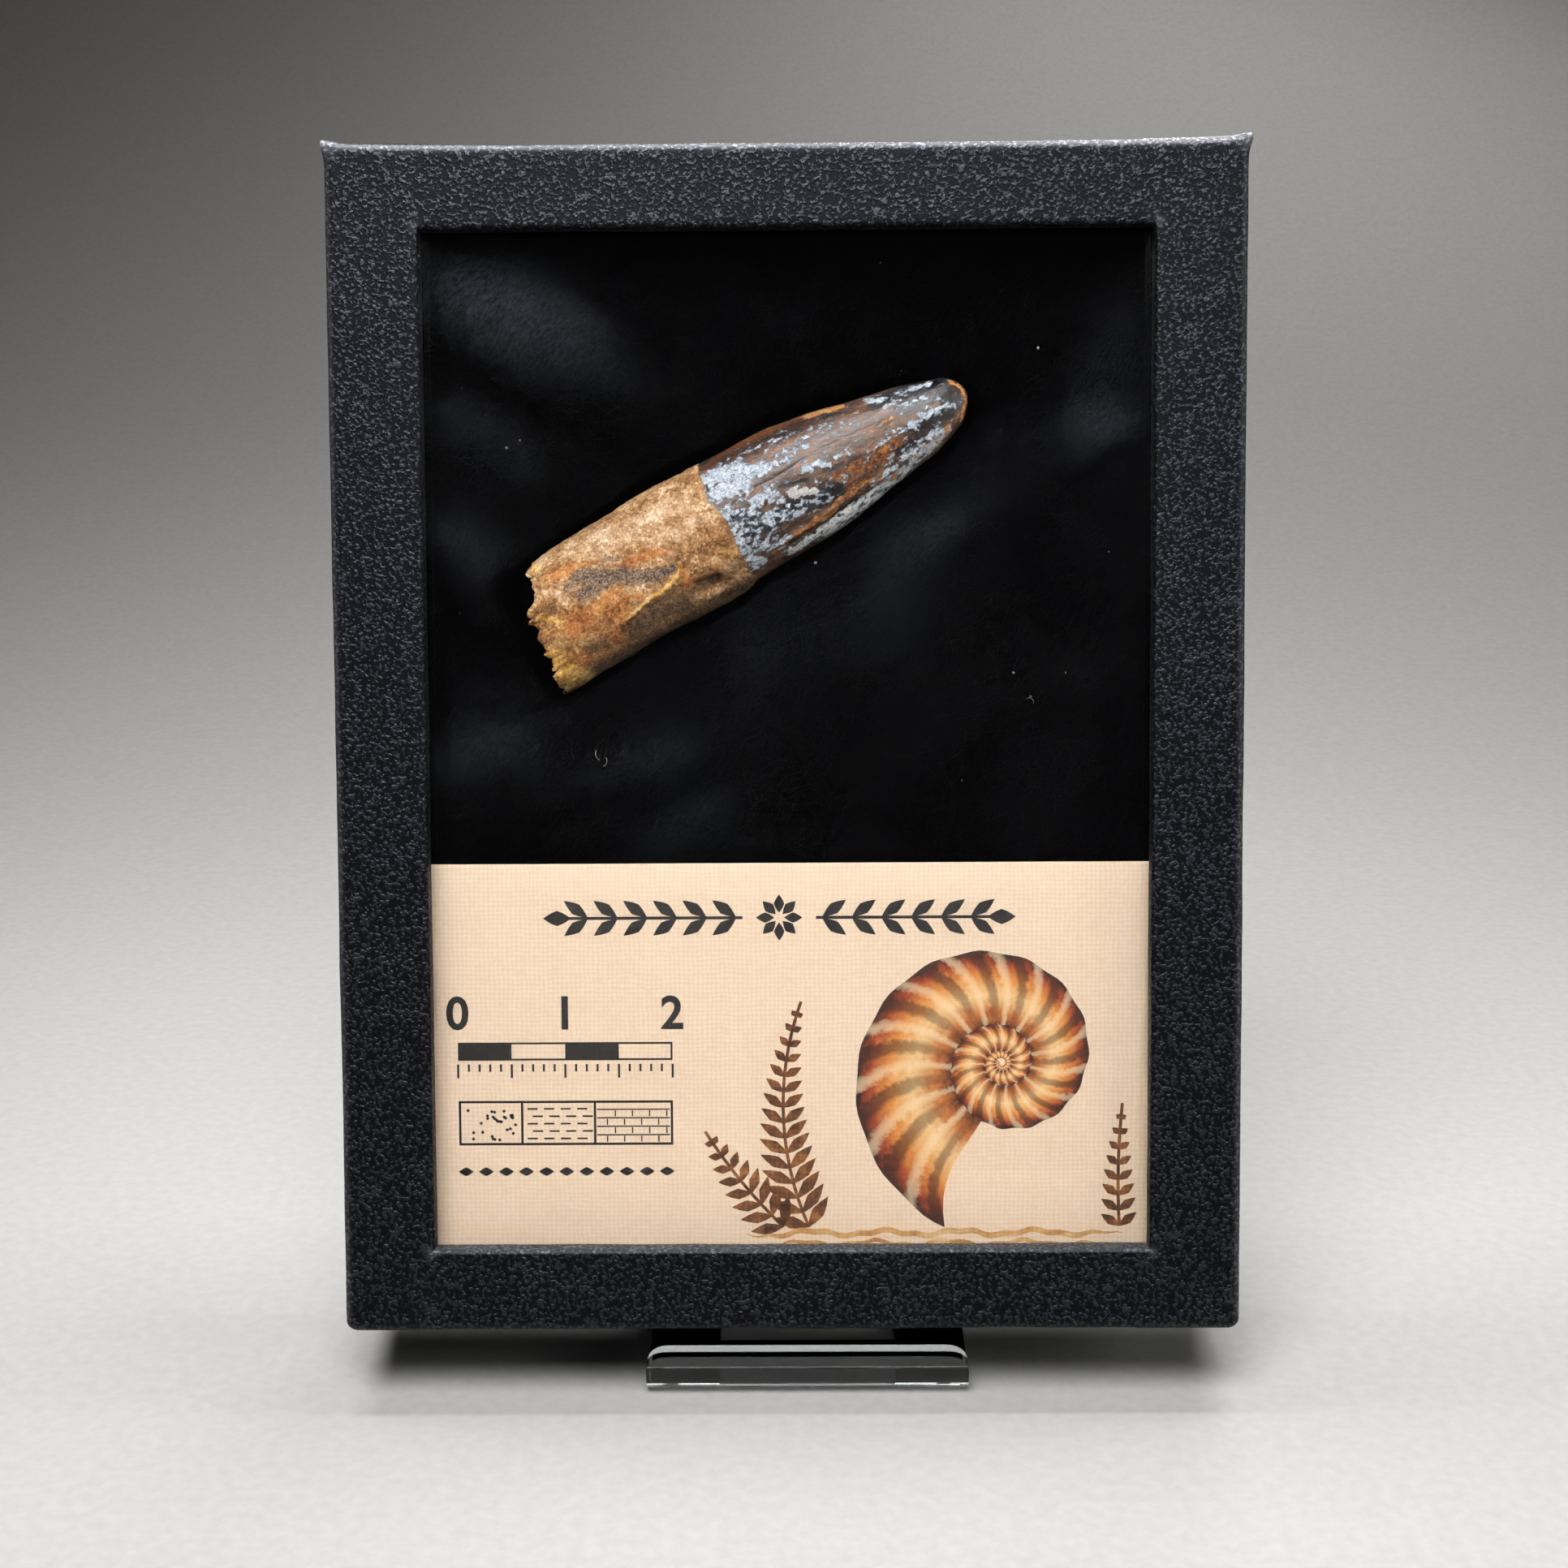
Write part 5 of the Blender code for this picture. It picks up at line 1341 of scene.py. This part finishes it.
up_back = Vector((math.sin(LEAN), math.cos(LEAN)))
bend = Vector((BOX_DEPTH * math.cos(LEAN) + (SHEET / 2 - REAR_EDGE_HEIGHT) * math.tan(LEAN)
               + (BOX_CLEARANCE + SHEET / 2) / math.cos(LEAN), SHEET / 2))
lip = LIP_FRONT + SHEET / 2
slot_top = bend + up_back * SLOT_TOP
back_top = bend + up_back * BACK_LENGTH
path = rounded_path([(lip, LIP_HEIGHT), (lip, SHEET / 2), bend, back_top],
                    [LIP_BEND + SHEET / 2, BACK_BEND + SHEET / 2])
path.insert(ARC_STEPS + 2, Vector((SLOT_FRONT, SHEET / 2)))
path.insert(-1, slot_top)
bm = bmesh.new()
columns = (-EASEL_WIDTH / 2, -SLOT_WIDTH / 2, -LEG_WIDTH / 2, LEG_WIDTH / 2, SLOT_WIDTH / 2,
           EASEL_WIDTH / 2)
row = [bm.verts.new((x, lip, LIP_HEIGHT)) for x in columns]
row = [bm.edges.new(pair) for pair in zip(row, row[1:])]
draw_out(bm, row, path[1:])
inside = [face for face in bm.faces if abs(face.calc_center_median().x) < SLOT_WIDTH / 2
          and face.calc_center_median().y > SLOT_FRONT
          and face.calc_center_median().z < slot_top.y]
bmesh.ops.delete(bm, geom=inside, context="FACES")
hinge_row = [e for e in bm.edges if all(abs(v.co.z - slot_top.y) < 1e-4
                                        and abs(v.co.x) < LEG_WIDTH / 2 + NEAR for v in e.verts)]
leg = rounded_path([slot_top, slot_top - up_back * LEG_BEND, (LEG_FOOT, -2.0)], [LEG_BEND])
draw_out(bm, hinge_row, leg[1:])
free = [v for v in bm.verts if abs(abs(v.co.x) - EASEL_WIDTH / 2) < NEAR
        and (abs(v.co.z - LIP_HEIGHT) < NEAR or abs(v.co.z - back_top.y) < NEAR)]
bmesh.ops.bevel(bm, geom=free, offset=CORNER_RADIUS, offset_type="OFFSET", segments=6,
                profile=0.5, affect="VERTICES", material=-1)
bmesh.ops.recalc_face_normals(bm, faces=bm.faces)
sheet = set_in_scene("easel_sheet", into_mesh(bm, "easel_sheet"))
wall = sheet.modifiers.new("sheet thickness", "SOLIDIFY")
wall.thickness = SHEET
wall.offset = 0.0
wall.use_even_offset = True
bm = bmesh.new()
bm.from_mesh(as_mesh(sheet, "easel_thick"))
bmesh.ops.bisect_plane(bm, geom=bm.verts[:] + bm.edges[:] + bm.faces[:], plane_co=(0, 0, 0),
                       plane_no=(0, 0, -1), clear_outer=True)
bmesh.ops.holes_fill(bm, edges=[e for e in bm.edges if e.is_boundary], sides=0)
easel = finish_piece(bm, "clear_easel", acrylic, EASEL_PLACE, sharp=50)
polish = easel.modifiers.new("flame polished edges", "BEVEL")
polish.width = 0.22 * MM
polish.segments = 3
polish.limit_method = "ANGLE"
polish.angle_limit = math.radians(50)
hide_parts("easel")
